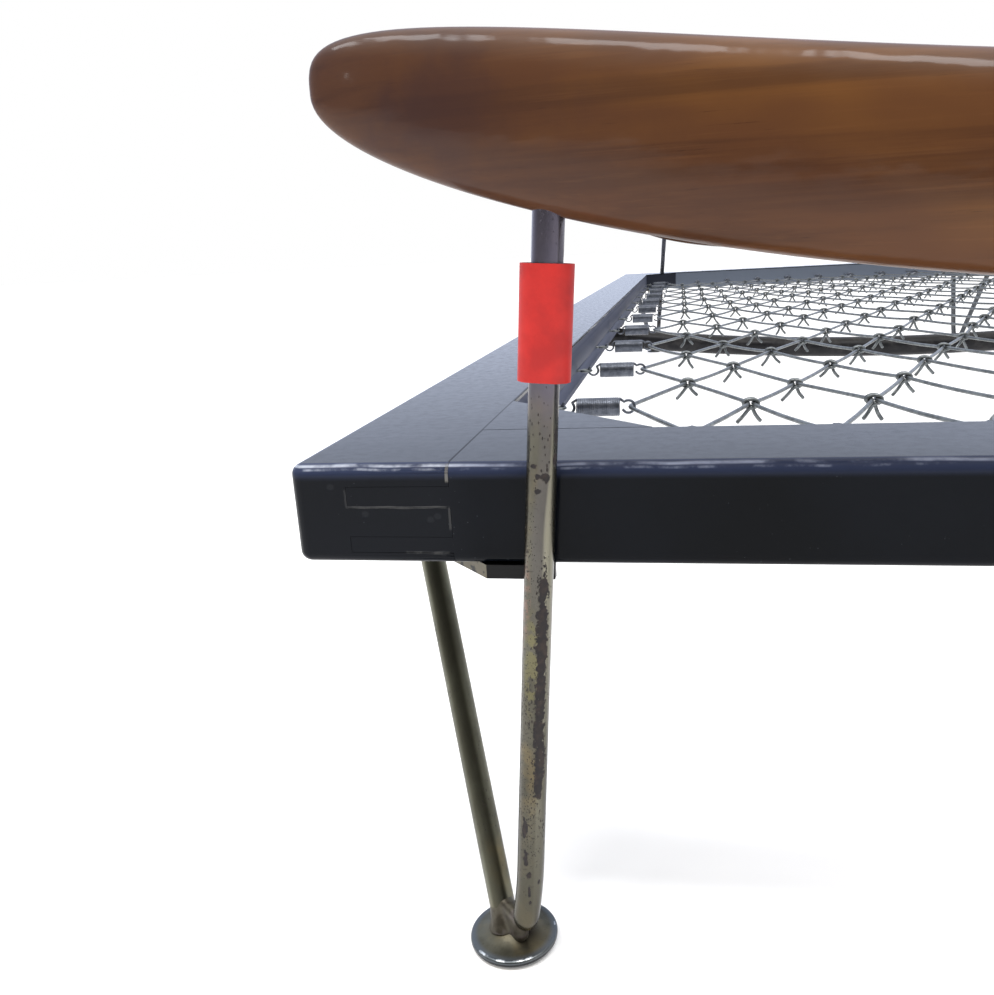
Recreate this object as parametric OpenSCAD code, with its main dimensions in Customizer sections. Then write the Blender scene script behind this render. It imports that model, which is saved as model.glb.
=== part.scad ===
// Daybed with a painted timber frame, a hooked wire spring net, splayed steel rod legs
// and a bowed wooden board carried above each end. Millimetres, +Z up.
// The origin is on the floor under the middle of the bed; the head end is towards -Y.

/* [Timber frame] */
// Length of the frame over its two ends
bed_l = 1980; // [1860:10:2100]
// Width of the frame over its two sides
bed_w = 850; // [780:10:900]
// Height of the frame's top face above the floor
frame_top = 192; // [170:1:300]
// Width of a side rail, seen from above
side_rail_w = 58; // [54:1:64]
// Width of an end rail, seen from above
end_rail_w = 58; // [54:1:64]
// Depth of all four rails
rail_h = 36; // [36:1:44]
// Radius of the rails' outer long edges
arris_r = 4; // [1:0.2:5]
// Radius of the rails' inner long edges
inner_arris_r = 0.8; // [0.4:0.2:2]
// Radius of the frame's four upright corners
corner_r = 2; // [1:0.5:6]

/* [Finger joints] */
// Distance of the fingers' tips from the outer side face
finger_tip_x = 21; // [12:1:34]
// Depth of the upper finger below the top face
upper_finger_down = 7.9; // [6:0.1:9]
// Thickness of the upper finger
upper_finger_h = 7.4; // [5:0.1:8]
// Depth of the lower finger below the top face
lower_finger_down = 26; // [24:0.1:27]
// Thickness of the lower finger
lower_finger_h = 5.6; // [4:0.1:6]
// Play all round a finger and between two rails
joint_gap = 0.12; // [0.05:0.01:0.3]

/* [Corner blocks] */
// Length of a corner block along the end rail
block_x = 67; // [50:1:80]
// Length of a corner block along the side rail
block_y = 68; // [50:1:80]
// Depth of a corner block
block_h = 30; // [18:1:34]

/* [Legs] */
// Diameter of the steel rods
rod_d = 10; // [8:0.5:12]
// Lean of the long rod, its foot outwards, in degrees
rod_lean = 4.2; // [0:0.1:6]
// Distance of the long rod from the outer side face, at the frame's top
rod_x = 91.2; // [86:0.2:96]
// Gap between the long rod and the end rail's face
rod_gap = 0.5; // [0.3:0.1:1]
// Length of the long rod inside the board
rod_in_board = 20; // [12:1:24]
// Distance of the short rod's head from the outer side face
brace_head_x = 33; // [30:1:38]
// Distance of the short rod's head from the end face
brace_head_y = 53; // [48:1:58]
// Distance of the short rod's foot from the outer side face
brace_foot_x = 68; // [66:0.2:69]
// Distance of the short rod's foot from the end face
brace_foot_y = 0.8; // [0:0.2:5]
// Gap between the long rod's tip and the foot disc
tip_up = 7; // [5:0.5:9]
// Radius of the long rod's rounded tip
tip_r = 3.4; // [2:0.2:4]
// Diameter of the foot disc
foot_d = 35; // [34:0.5:42]
// Thickness of the foot disc
foot_t = 3; // [2.5:0.1:5]
// Radius of the foot disc's upper edge
foot_edge_r = 1.8; // [0.6:0.1:2]
// Distance of the foot disc's centre from the outer side face
foot_x = 70.5; // [69:0.5:72]
// Distance of the foot disc's centre from the end face
foot_y = 1; // [0:0.5:3]
// Thickness of the plate under each corner
plate_t = 5; // [4:0.5:6]
// Diameter of the weld bead round the short rod's foot
weld_foot_d = 15.5; // [13:0.5:17]
// Height of the weld bead round the short rod's foot
weld_foot_h = 3; // [2:0.5:5]
// Width of the weld that bridges the two rods at the foot
weld_web_w = 6; // [4:0.5:8]
// Height of the weld that bridges the two rods at the foot
weld_web_h = 14; // [9:1:20]
// Width of the weld bead between the long rod and the plate
weld_w = 7.5; // [6:0.5:8]
// Height of the weld bead between the long rod and the plate
weld_h = 3.4; // [2:0.2:3.8]
// Width of the plate under each corner
plate_w = 20; // [19:1:24]
// Places of the three plate screws, measured from the long rod along the plate
plate_screws = [20, 48, 95];

/* [End boards] */
// Length of a board
board_l = 798; // [740:2:860]
// Height of a board at its middle
board_h = 57; // [52:0.5:66]
// Thickness of a board
board_t = 32; // [26:1:36]
// Height of the board's middle line above the frame, at mid length
board_up = 71.5; // [60:0.5:90]
// Rise of the board's middle line from mid length to each tip
board_rise = 45; // [20:0.5:60]
// Radial play of a rod in its board
rod_play = 0.1; // [0.05:0.01:0.2]

/* [Net] */
// Diameter of the net's wire
net_wire_d = 2.4; // [2:0.1:2.6]
// Depth of the net below the frame's top face
net_down = 22; // [20:0.5:24]
// Number of zigzag runs across the net, an odd number
net_runs = 19; // [15:2:21]
// Number of legs in each zigzag run, an odd number
net_legs = 21; // [17:2:23]
// Distance from a side rail to the net's edge
net_side = 49; // [46:1:56]
// Distance from an end rail to the net's edge
net_end = 91; // [88:1:100]
// Space left between two bends that are clipped together
bend_gap = 0.3; // [0.2:0.05:0.5]
// Thickness of the clip's band
clip_wall = 1.8; // [1.4:0.1:2.2]
// Length of the clip's band along the bed
clip_l = 4.6; // [3.6:0.1:5]
// Diameter of a clip's two tails
tail_d = 2.2; // [1.8:0.1:2.4]
// Length of each of a clip's two tails
tail_l = 10.5; // [6:0.5:13]
// Angle of each tail from straight down
tail_angle = 32; // [20:1:40]

/* [Springs] */
// Outer diameter of a spring
spring_od = 11; // [10:0.5:12]
// Diameter of the spring's wire
spring_wire_d = 1.6; // [1.4:0.05:1.7]
// Number of turns in a spring at the side
spring_turns = 11; // [8:1:11]
// Number of side springs, from the near end, drawn with their separate turns
wound_springs = 3; // [0:1:3]
// Radius of the spring's end loops, to the middle of the wire
loop_r = 3.6; // [3.2:0.1:4]
// Diameter of the wire of a rail hook's eye
hook_wire_d = 1.8; // [1.6:0.1:2]
// Radius of the rail hook's eye, to the middle of the wire
hook_r = 4.2; // [4:0.1:4.6]
// Length of a side hook's shank outside the rail
hook_out = 2.6; // [2:0.2:6]
// Length of the rail hook's shank inside the rail
hook_in = 11; // [8:0.5:16]
// Play where one loop of wire pulls on another
wire_gap = 0.3; // [0.2:0.05:0.4]

/* [Cross tube] */
// Diameter of the tube under the middle of the net
tube_d = 26; // [22:0.5:30]
// Wall of the cross tube
tube_wall = 2; // [1.5:0.1:3]
// Drop of the tube's middle below its ends
tube_sag = 29; // [15:1:36]
// Distance of the tube's ends from the outer side faces
tube_end_x = 12; // [8:1:20]
// Depth of the flat seat ground into the tube's ends
tube_seat = 1; // [0.5:0.1:1.5]
// Length of the tube's foot plate across the rail
tube_foot_x = 44; // [36:1:48]
// Width of the tube's foot plate along the rail
tube_foot_y = 60; // [56:1:70]
// Thickness of the tube's foot plate
tube_foot_t = 4; // [3:0.5:5]
// Distance of the tube's screws from the tube's middle line
tube_screw_y = 21; // [20:0.5:23]

/* [Wood screws] */
// Diameter of a screw's head
screw_head_d = 8; // [7:0.2:9]
// Height of a screw's countersunk head
screw_head_h = 2.6; // [2:0.1:3]
// Diameter of a screw's shank
screw_d = 4; // [3.4:0.1:4.4]
// Length of a screw
screw_l = 20; // [16:1:26]
// Radial play of a screw in its hole, and of a hook's shank in its hole
screw_play = 0.06; // [0.04:0.01:0.1]

/* [Marker sleeve] */
// Width of the sleeve round one long rod
sleeve_w = 17; // [14:0.5:20]
// Depth of the sleeve
sleeve_y = 11.6; // [11.4:0.1:13]
// Height of the sleeve
sleeve_h = 36; // [24:1:44]
// Thickness of the sleeve
sleeve_t = 0.6; // [0.4:0.1:0.7]
// Height of the sleeve's lower edge above the frame
sleeve_up = 28; // [10:1:34]

/* [Hidden] */
$fn = 48;

over = 1;                                   // how far a cutter runs past what it cuts
paint = "midnightblue";
steel = "lightslategray";
worn_steel = "darkkhaki";

// Frame
inner_w = bed_w - 2 * side_rail_w;
inner_l = bed_l - 2 * end_rail_w;
floor_z = -frame_top;
finger_down = [upper_finger_down, lower_finger_down];
finger_h = [upper_finger_h, lower_finger_h];

// Legs, measured from the outer corner at the frame's top
rod_y = -rod_gap - rod_d / 2;
rod_slope = tan(rod_lean);
plate_z = -rail_h - plate_t;
foot_z = floor_z + foot_t;
plate_from = [rod_x - rod_slope * (rail_h + plate_t), rod_y];
plate_to = [brace_head_x, brace_head_y];
plate_turn = atan2(plate_to[1] - plate_from[1], plate_to[0] - plate_from[0]);
plate_l = max(plate_screws);
brace_slope_x = (brace_foot_x - brace_head_x) / (plate_z - foot_z);
brace_slope_y = (brace_foot_y - brace_head_y) / (plate_z - foot_z);

// Boards
board_slices = 17;                          // slices from mid length to a tip
board_sides = 20;                           // points round a slice
board_squareness = 2.4;                     // 2 is an ellipse, more is squarer
board_tip = 89;                             // where the last slice lies, 90 being the tip
board_swell = 0.25;                         // how much the board would gain in height towards its tips
board_taper = 3.3;                          // how late the board narrows to a tip
over_tip = 0.31;                            // how blunt the tip's upper half is, less is blunter
under_tip = 0.44;                           // how blunt the tip's lower half is
rod_at_board = rod_x + rod_slope * board_up;
board_u = (bed_w / 2 - rod_at_board) / (board_l / 2);
rod_top = board_mid_z(board_u) - board_half_h(board_u, under_tip) + rod_in_board;

// Net
net_z = -net_down;
net_w = inner_w - 2 * net_side;
net_l = inner_l - 2 * net_end;
pitch_x = net_w / net_runs;
pitch_y = net_l / net_legs;
net_turn = atan(pitch_x / pitch_y);
net_r = net_wire_d / 2;
bend_r = net_r / cos(net_turn);             // how far the wire's bend reaches past its middle line
bend_in = bend_r + bend_gap / 2;            // from a knot's middle to the wire's middle line
wire_sides = 6;
tail_stub = [6, 13];                        // the wire's free end past its last bend
clip_x = bend_in + bend_r + tan(net_turn) * clip_l / 2 + bend_gap;
clip_z = net_r + bend_gap;

// Springs, measured from the rail's face along the spring
spring_r = (spring_od - spring_wire_d) / 2;
eye_reach = hook_out + 2 * hook_r - hook_wire_d / 2 - wire_gap;
first_loop_x = eye_reach - spring_wire_d / 2 + loop_r;
last_loop_x = loop_at_wire(net_side, bend_r);
end_shift = loop_at_wire(net_end, net_r) - last_loop_x;
hook_shank_d = hook_wire_d - 0.2;
coil_lead = loop_r + spring_wire_d / 2;     // from a loop's middle to the coil's end
coil_l = last_loop_x - first_loop_x - 2 * coil_lead;
curl_rings = 8;
loop_steps = 9;
loop_open = 50;                             // angle at which a loop joins its coil
eye_open = 140;                             // how far the eye runs round on its second side

// Cross tube
tube_top_z = -rail_h - tube_foot_t;
tube_half = bed_w / 2 - tube_end_x;
tube_arc_r = (tube_half * tube_half + tube_sag * tube_sag) / (2 * tube_sag);
tube_arc = 2 * asin(tube_half / tube_arc_r);
tube_end_z = tube_top_z + tube_seat - tube_d / 2;

// Marker sleeve
sleeve_lift = sleeve_up / cos(rod_lean);

// ---------------------------------------------------------------- functions

function unit(v) = v / norm(v);

// A loop's middle, when it pulls on a wire of radius r at distance d from the rail.
function loop_at_wire(d, r) = d + r + wire_gap + spring_wire_d / 2 - loop_r;

// The board's middle line and half height, at u = 0 for mid length and 1 for the tip.
function board_mid_z(u) = board_up + board_rise * u * u;
function board_half_h(u, tip) = board_h / 2 * (1 + board_swell * u * u) * pow(1 - pow(u, board_taper), tip);
function board_half_t(u) = board_t / 2 * pow(1 - pow(u, 4), 0.4);
function bulge(c) = sign(c) * pow(abs(c), 2 / board_squareness);

// One slice of the board at position s from -1 to 1 along it.
function board_slice(s) = [
    for (k = [0 : board_sides - 1])
        let (a = 360 * k / board_sides, u = abs(s))
        [
            s * board_l / 2,
            board_half_t(u) * bulge(cos(a)),
            board_mid_z(u) + board_half_h(u, a < 180 ? over_tip : under_tip) * bulge(sin(a))
        ]
];

// Triangles over a tube of rings, with n points in each ring, and over its two ends.
function skin(rings, n) = concat(
    [for (i = [0 : rings - 2]) for (k = [0 : n - 1])
        let (a = i * n + k, b = i * n + (k + 1) % n) [a, b, b + n]],
    [for (i = [0 : rings - 2]) for (k = [0 : n - 1])
        let (a = i * n + k, b = i * n + (k + 1) % n) [a, b + n, a + n]],
    [for (k = [1 : n - 2]) [0, k + 1, k]],
    [for (k = [1 : n - 2]) let (e = (rings - 1) * n) [e, e + k, e + k + 1]]
);

// A direction turned as little as it can be to stand square to t.
function carried(u, t) = unit(u - (u * t) * t);

// The tangents of a path, and a side direction carried along it.
function tangents(p) = [
    for (i = [0 : len(p) - 1]) unit(p[min(i + 1, len(p) - 1)] - p[max(i - 1, 0)])
];
function carried_along(t, first) = [
    for (i = 0, u = carried(first, t[0]); i < len(t); i = i + 1, u = carried(u, t[min(i, len(t) - 1)])) u
];

// Rings of a round wire of radius r along a path.
function wire_points(p, r, first) =
    let (t = tangents(p), u = carried_along(t, first))
    [
        for (i = [0 : len(p) - 1]) for (k = [0 : wire_sides - 1])
            let (a = 360 * k / wire_sides)
            p[i] + r * (cos(a) * u[i] + sin(a) * cross(t[i], u[i]))
    ];

// Where run k of the net stands at row j: on its left column, or on its right one.
function on_left(k, j) = (k + j) % 2 == 1;
function run_point(k, j) = [
    on_left(k, j) ? k * pitch_x + bend_in * (k > 0 ? 1 : 0)
                  : (k + 1) * pitch_x - bend_in * (k < net_runs - 1 ? 1 : 0),
    j * pitch_y
];

// The net's one wire: it goes up and down the bed in zigzag runs and ends in two short stubs.
function net_path() = concat(
    [run_point(0, net_legs) + tail_stub],
    [for (k = [0 : net_runs - 1]) for (s = [0 : net_legs])
        run_point(k, k % 2 == 0 ? net_legs - s : s)],
    [run_point(net_runs - 1, 0) - tail_stub]
);

// Rings of the flat wire path p: each is set square between its two legs.
function flat_ring(p, i) =
    let (
        d0 = unit(p[max(i, 1)] - p[max(i, 1) - 1]),
        d1 = unit(p[min(i, len(p) - 2) + 1] - p[min(i, len(p) - 2)]),
        along = unit(d0 + d1),
        side = [-along[1], along[0]],
        stretch = 1 / (along * d0)
    )
    [
        for (k = [0 : wire_sides - 1])
            let (a = 360 * (k + 0.5) / wire_sides, out = net_r * cos(a) * stretch)
            [p[i][0] + side[0] * out, p[i][1] + side[1] * out, net_r * sin(a)]
    ];
function flat_wire_points(p) = [for (i = [0 : len(p) - 1]) each flat_ring(p, i)];

// Path of a wound spring along +X, from its open loop at the rail to its open loop at the net.
function ring_point(x, a) = [x + loop_r * cos(a), 0, loop_r * sin(a)];
function coil_point(x, turn) = [x, spring_r * sin(360 * turn), spring_r * cos(360 * turn)];
function spring_path(x0, x1, turns) =
    let (
        start = x0 + coil_lead + spring_wire_d / 2,
        end = x1 - coil_lead - spring_wire_d / 2,
        rings = turns * curl_rings,
        sweep = 360 - 2 * loop_open + 20
    )
    concat(
        [for (i = [0 : loop_steps]) ring_point(x0, loop_open - sweep * (1 - i / loop_steps))],
        [for (i = [0 : rings]) coil_point(start + (end - start) * i / rings, i / curl_rings)],
        [for (i = [0 : loop_steps]) ring_point(x1, 180 - loop_open - sweep * i / loop_steps)]
    );

// The least gap between parts of a wire path that are more than half a curl apart.
function least_gap(p, d) = min([
    for (i = [0 : len(p) - 1]) for (j = [i + curl_rings / 2 : 1 : len(p) - 1]) norm(p[i] - p[j])
]) - d;

// ---------------------------------------------------------------- placing

// The left corner at the head end, with z = 0 at the frame's top.
module at_corner() {
    translate([-bed_w / 2, -bed_l / 2, frame_top]) children();
}

module head_left() {
    at_corner() children();
}

module head_right() {
    mirror([1, 0, 0]) at_corner() children();
}

module foot_left() {
    mirror([0, 1, 0]) at_corner() children();
}

module foot_right() {
    rotate([0, 0, 180]) at_corner() children();
}

module at_every_corner() {
    head_left() children();
    head_right() children();
    foot_left() children();
    foot_right() children();
}

// The left corner at the head end, and the same turned to the right side.
module at_both_sides() {
    head_left() children();
    foot_right() children();
}

// The net's first corner, in the corner's own frame.
module at_net() {
    translate([side_rail_w + net_side, end_rail_w + net_end, net_z]) children();
}

// Each place where the left side rail holds a hook, from row a to row b.
module at_left_hooks(a, b) {
    for (j = [a : 2 : b])
        translate([side_rail_w, end_rail_w + net_end + j * pitch_y, net_z]) children();
}

// Each place where the head rail holds a hook, with +X turned along the bed.
module at_head_hooks() {
    for (i = [1 : 2 : net_runs - 1])
        translate([side_rail_w + net_side + i * pitch_x, end_rail_w, net_z]) rotate([0, 0, 90]) children();
}

// ---------------------------------------------------------------- shared shapes

// What a rounded corner at the origin takes away.
module round_off(r) {
    difference() {
        translate([-over, -over]) square(r + over);
        translate([r, r]) circle(r);
    }
}

// A rectangle whose two corners at x = 0 and two at x = w are rounded.
module rounded_bar(w, h, r_near, r_far) {
    difference() {
        square([w, h]);
        round_off(r_near);
        translate([0, h]) mirror([0, 1]) round_off(r_near);
        if (r_far > 0) {
            translate([w, 0]) mirror([1, 0]) round_off(r_far);
            translate([w, h]) rotate(180) round_off(r_far);
        }
    }
}

// The fingers of one end rail's end, grown by play.
module fingers(play) {
    for (i = [0, 1])
        translate([finger_tip_x - play, 0, -finger_down[i] - finger_h[i] - play])
            cube([side_rail_w + over - finger_tip_x + play, end_rail_w + play, finger_h[i] + 2 * play]);
}

// The slots that the fingers slide into, open at the end face.
module finger_slots() {
    translate([0, -over, 0]) fingers(joint_gap);
    fingers(joint_gap);
}

// A countersunk screw with its head's face at z = 0 and its point upwards, grown by play.
module screw(play) {
    translate([0, 0, -play])
        cylinder(d1 = screw_head_d + 2 * play, d2 = screw_d + 2 * play, h = screw_head_h + play);
    cylinder(d = screw_d + 2 * play, h = screw_l + play);
}

// The three screws of a leg plate.
module plate_screw_set(play) {
    translate([plate_from[0], plate_from[1], plate_z]) rotate([0, 0, plate_turn])
        for (x = plate_screws)
            translate([x, 0, 0]) screw(play);
}

// The two screws of each foot plate of the cross tube, in the corner's frame.
module tube_screw_pair(play) {
    for (s = [-1, 1])
        translate([tube_end_x + tube_foot_x / 2, bed_l / 2 + s * tube_screw_y, tube_top_z]) screw(play);
}

// The hole for one hook's shank, running into the rail from its inner face.
module hook_hole() {
    translate([-hook_in - wire_gap, 0, 0]) rotate([0, 90, 0])
        cylinder(d = hook_shank_d + 2 * screw_play, h = hook_in + wire_gap + over);
}

// ---------------------------------------------------------------- timber

module side_rail() {
    at_corner() difference() {
        intersection() {
            translate([0, bed_l, -rail_h]) rotate([90, 0, 0])
                linear_extrude(bed_l) rounded_bar(side_rail_w, rail_h, arris_r, inner_arris_r);
            translate([0, 0, -rail_h])
                linear_extrude(rail_h) rounded_bar(side_rail_w, bed_l, corner_r, 0);
            translate([0, 0, -rail_h]) rotate([90, 0, 90])
                linear_extrude(side_rail_w) rounded_bar(bed_l, rail_h, arris_r, arris_r);
        }
        finger_slots();
        translate([0, bed_l, 0]) mirror([0, 1, 0]) finger_slots();
        plate_screw_set(screw_play);
        translate([0, bed_l, 0]) mirror([0, 1, 0]) plate_screw_set(screw_play);
        tube_screw_pair(screw_play);
        at_left_hooks(1, net_legs) hook_hole();
    }
}

module end_rail() {
    at_corner() difference() {
        union() {
            translate([side_rail_w + joint_gap, 0, -rail_h]) rotate([90, 0, 90])
                linear_extrude(inner_w - 2 * joint_gap)
                    rounded_bar(end_rail_w, rail_h, arris_r, inner_arris_r);
            fingers(0);
            translate([bed_w, 0, 0]) mirror([1, 0, 0]) fingers(0);
        }
        plate_screw_set(screw_play);
        translate([bed_w, 0, 0]) mirror([1, 0, 0]) plate_screw_set(screw_play);
        at_head_hooks() hook_hole();
    }
}

module corner_block() {
    translate([side_rail_w, end_rail_w, -block_h])
        linear_extrude(block_h) polygon([[0, 0], [block_x, 0], [0, block_y]]);
}

// A long rounded board that rises towards both tips, with a blind hole for each rod.
module board() {
    slices = [
        for (i = [-board_slices : board_slices]) board_slice(sin(board_tip * i / board_slices))
    ];
    difference() {
        translate([0, -bed_l / 2 + rod_y, frame_top])
            polyhedron([for (s = slices) each s], skin(len(slices), board_sides));
        head_left() rod_body(rod_d + 2 * rod_play, 0, rod_top + wire_gap);
        head_right() rod_body(rod_d + 2 * rod_play, 0, rod_top + wire_gap);
    }
}

// ---------------------------------------------------------------- legs

// The long rod's round body between two heights, cut level at both.
module rod_body(d, z0, z1) {
    intersection() {
        translate([rod_x, rod_y, 0]) rotate([0, rod_lean, 0])
            translate([0, 0, z0 - d]) cylinder(d = d, h = (z1 - z0 + 2 * d) / cos(rod_lean));
        translate([0, rod_y - d, z0]) cube([2 * rod_x, 2 * d, z1 - z0]);
    }
}

// The long rod ends in a rounded tip that stays clear of the foot disc.
module long_rod() {
    tip_at = (foot_z + tip_up) / cos(rod_lean);
    top_at = (rod_top - rod_d / 2 * sin(rod_lean)) / cos(rod_lean);
    translate([rod_x, rod_y, 0]) rotate([0, rod_lean, 0]) translate([0, 0, tip_at]) rotate_extrude()
        difference() {
            square([rod_d / 2, top_at - tip_at]);
            translate([rod_d / 2, 0]) mirror([1, 0]) round_off(tip_r);
        }
}

// The short rod runs from the foot disc up to the plate, cut level at both.
module short_rod() {
    intersection() {
        uncut_short_rod();
        translate([0, -rod_d, foot_z]) cube([2 * rod_x, 2 * brace_head_y, plate_z - foot_z]);
    }
}

// The short rod's whole bar, which runs on past the disc and the plate.
module uncut_short_rod() {
    lean = atan(norm([brace_slope_x, brace_slope_y]));
    way = atan2(-brace_slope_y, -brace_slope_x);
    translate([brace_foot_x, brace_foot_y, foot_z]) rotate([0, 0, way]) rotate([0, lean, 0])
        translate([0, 0, -rod_d]) cylinder(d = rod_d, h = (plate_z - foot_z) / cos(lean) + 2 * rod_d);
}

module foot_disc() {
    translate([foot_x, foot_y, floor_z]) rotate_extrude()
        difference() {
            square([foot_d / 2, foot_t]);
            translate([foot_d / 2, foot_t]) rotate(180) round_off(foot_edge_r);
        }
}

// A flat steel strip under the corner, cut flush with the end face and with the long rod.
module leg_plate() {
    difference() {
        intersection() {
            translate([plate_from[0], plate_from[1], plate_z]) rotate([0, 0, plate_turn]) {
                translate([-plate_w, -plate_w / 2, 0]) cube([plate_w + plate_l, plate_w, plate_t]);
                translate([plate_l, 0, 0]) cylinder(d = plate_w, h = plate_t);
            }
            translate([0, 0, plate_z - over])
                cube([plate_from[0] + rod_d / 2, 2 * plate_l, plate_t + 2 * over]);
        }
        plate_screw_set(screw_play);
    }
}

// A bead round the short rod's foot, a weld that bridges the two rods, and the beads at the plate.
module weld_beads() {
    tip = [rod_x + rod_slope * foot_z, rod_y];
    way = tip - [brace_foot_x, brace_foot_y];
    difference() {
        union() {
            translate([brace_foot_x, brace_foot_y, foot_z])
                cylinder(d1 = weld_foot_d, d2 = rod_d, h = weld_foot_h);
            translate([brace_foot_x, brace_foot_y, foot_z]) rotate([0, 0, atan2(way[1], way[0])])
                translate([0, -weld_web_w / 2, 0]) cube([norm(way), weld_web_w, weld_web_h]);
            translate([plate_from[0] - weld_w / 2, rod_y, plate_z + (plate_t - weld_h) / 2])
                cube([weld_w, -rod_y, weld_h]);
            translate([brace_head_x, brace_head_y, plate_z - weld_w / 3])
                cylinder(d1 = rod_d + weld_w / 6, d2 = rod_d + weld_w * 2 / 3, h = weld_w / 3);
        }
        rod_body(rod_d, foot_z - over, rod_top);
        uncut_short_rod();
    }
}

// ---------------------------------------------------------------- net

module net_wire_body() {
    path = net_path();
    at_corner() at_net() polyhedron(flat_wire_points(path), skin(len(path), wire_sides));
}

// The flattened round outline of a clip's band.
module clip_shape(half_w, half_h) {
    rounded_bar(2 * half_w, 2 * half_h, half_h, half_h);
}

// A band bent round two bends of the wire, with two cut tails hanging from it.
module clip() {
    rotate([90, 0, 0]) translate([0, 0, -clip_l / 2]) linear_extrude(clip_l) difference() {
        translate([-clip_x - clip_wall, -clip_z - clip_wall])
            clip_shape(clip_x + clip_wall, clip_z + clip_wall);
        translate([-clip_x, -clip_z]) clip_shape(clip_x, clip_z);
    }
    for (s = [-1, 1])
        translate([s * clip_x / 3, 0, -clip_z - clip_wall / 2]) rotate([0, 180 - s * tail_angle, 0])
            cylinder(d = tail_d, h = tail_l);
}

module clips() {
    at_corner() at_net()
        for (j = [1 : net_legs - 1]) for (i = [1 : net_runs - 1])
            if ((i + j) % 2 == 1) translate([i * pitch_x, j * pitch_y, 0]) clip();
}

// ---------------------------------------------------------------- springs and hooks

// A spring drawn as its smooth outer tube, with an open loop at each end.
module plain_spring() {
    translate([first_loop_x + coil_lead, 0, 0]) rotate([0, 90, 0]) difference() {
        cylinder(d = spring_od, h = coil_l);
        translate([0, 0, -over]) cylinder(d = spring_od - 2 * spring_wire_d, h = coil_l + 2 * over);
    }
    end_loop(first_loop_x, 1);
    end_loop(last_loop_x, -1);
}

// An open loop and the stretch of wire that carries it on to the coil's rim.
module end_loop(x, way) {
    sweep = 360 - 2 * loop_open + 20;
    foot = [loop_r * cos(loop_open), loop_r * sin(loop_open)];
    rim = [coil_lead + spring_wire_d, spring_r];
    step = rim - foot;
    translate([x, 0, 0]) mirror([way < 0 ? 1 : 0, 0, 0]) {
        rotate([90, 0, 0]) rotate([0, 0, loop_open]) rotate_extrude(angle = sweep)
            translate([loop_r, 0]) circle(d = spring_wire_d);
        translate([foot[0], 0, foot[1]]) rotate([0, 90 - atan2(step[1], step[0]), 0])
            cylinder(d = 0.9 * spring_wire_d, h = norm(step));
    }
}

module wound_spring() {
    path = spring_path(first_loop_x, last_loop_x, spring_turns);
    polyhedron(wire_points(path, spring_wire_d / 2, [0, 1, 0]), skin(len(path), wire_sides));
}

// A hook driven into the rail, with an open eye lying flat and a shank that stands out by reach.
module rail_hook(reach) {
    translate([-hook_in, 0, 0]) rotate([0, 90, 0])
        cylinder(d = hook_shank_d, h = hook_in + reach + hook_wire_d / 4);
    translate([reach + hook_r, 0, 0]) rotate([0, 0, -eye_open]) rotate_extrude(angle = 180 + eye_open)
        translate([hook_r, 0]) circle(d = hook_wire_d);
}

echo(least_gap_in_a_wound_spring =
    least_gap(spring_path(first_loop_x, last_loop_x, spring_turns), spring_wire_d));

// ---------------------------------------------------------------- cross tube

module tube_body() {
    difference() {
        translate([0, 0, frame_top + tube_end_z - tube_sag + tube_arc_r]) rotate([90, 0, 0])
            rotate([0, 0, -90 - tube_arc / 2]) rotate_extrude(angle = tube_arc, $fn = 360)
                translate([tube_arc_r, 0]) difference() {
                    circle(d = tube_d);
                    circle(d = tube_d - 2 * tube_wall);
                }
        translate([-bed_w / 2, -tube_d, frame_top + tube_top_z]) cube([bed_w, 2 * tube_d, tube_d]);
    }
}

module tube_foot() {
    difference() {
        translate([tube_end_x, (bed_l - tube_foot_y) / 2, tube_top_z])
            cube([tube_foot_x, tube_foot_y, tube_foot_t]);
        tube_screw_pair(screw_play);
    }
}

// ---------------------------------------------------------------- sub-parts

module side_rail_left() color(paint) side_rail();
module side_rail_right() color(paint) rotate([0, 0, 180]) side_rail();
module end_rail_head() color(paint) end_rail();
module end_rail_foot() color(paint) rotate([0, 0, 180]) end_rail();

module corner_block_head_left() color(paint) head_left() corner_block();
module corner_block_head_right() color(paint) head_right() corner_block();
module corner_block_foot_left() color(paint) foot_left() corner_block();
module corner_block_foot_right() color(paint) foot_right() corner_block();

module leg_plate_head_left() color(steel) head_left() leg_plate();
module leg_plate_head_right() color(steel) head_right() leg_plate();
module leg_plate_foot_left() color(steel) foot_left() leg_plate();
module leg_plate_foot_right() color(steel) foot_right() leg_plate();

module long_rod_head_left() color(worn_steel) head_left() long_rod();
module long_rod_head_right() color(worn_steel) head_right() long_rod();
module long_rod_foot_left() color(worn_steel) foot_left() long_rod();
module long_rod_foot_right() color(worn_steel) foot_right() long_rod();

module short_rod_head_left() color(worn_steel) head_left() short_rod();
module short_rod_head_right() color(worn_steel) head_right() short_rod();
module short_rod_foot_left() color(worn_steel) foot_left() short_rod();
module short_rod_foot_right() color(worn_steel) foot_right() short_rod();

module foot_disc_head_left() color(steel) head_left() foot_disc();
module foot_disc_head_right() color(steel) head_right() foot_disc();
module foot_disc_foot_left() color(steel) foot_left() foot_disc();
module foot_disc_foot_right() color(steel) foot_right() foot_disc();

module leg_welds() color("dimgray") at_every_corner() weld_beads();
module leg_screws() color(steel) at_every_corner() plate_screw_set(0);

module headboard() color("saddlebrown") board();
module footboard() color("saddlebrown") rotate([0, 0, 180]) board();

module cross_tube() color("darkslategray") tube_body();
module tube_feet() color("darkslategray") at_both_sides() tube_foot();
module tube_screws() color(steel) at_both_sides() tube_screw_pair(0);

module net_wire() color(steel) net_wire_body();
module net_clips() color(steel) clips();

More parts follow.
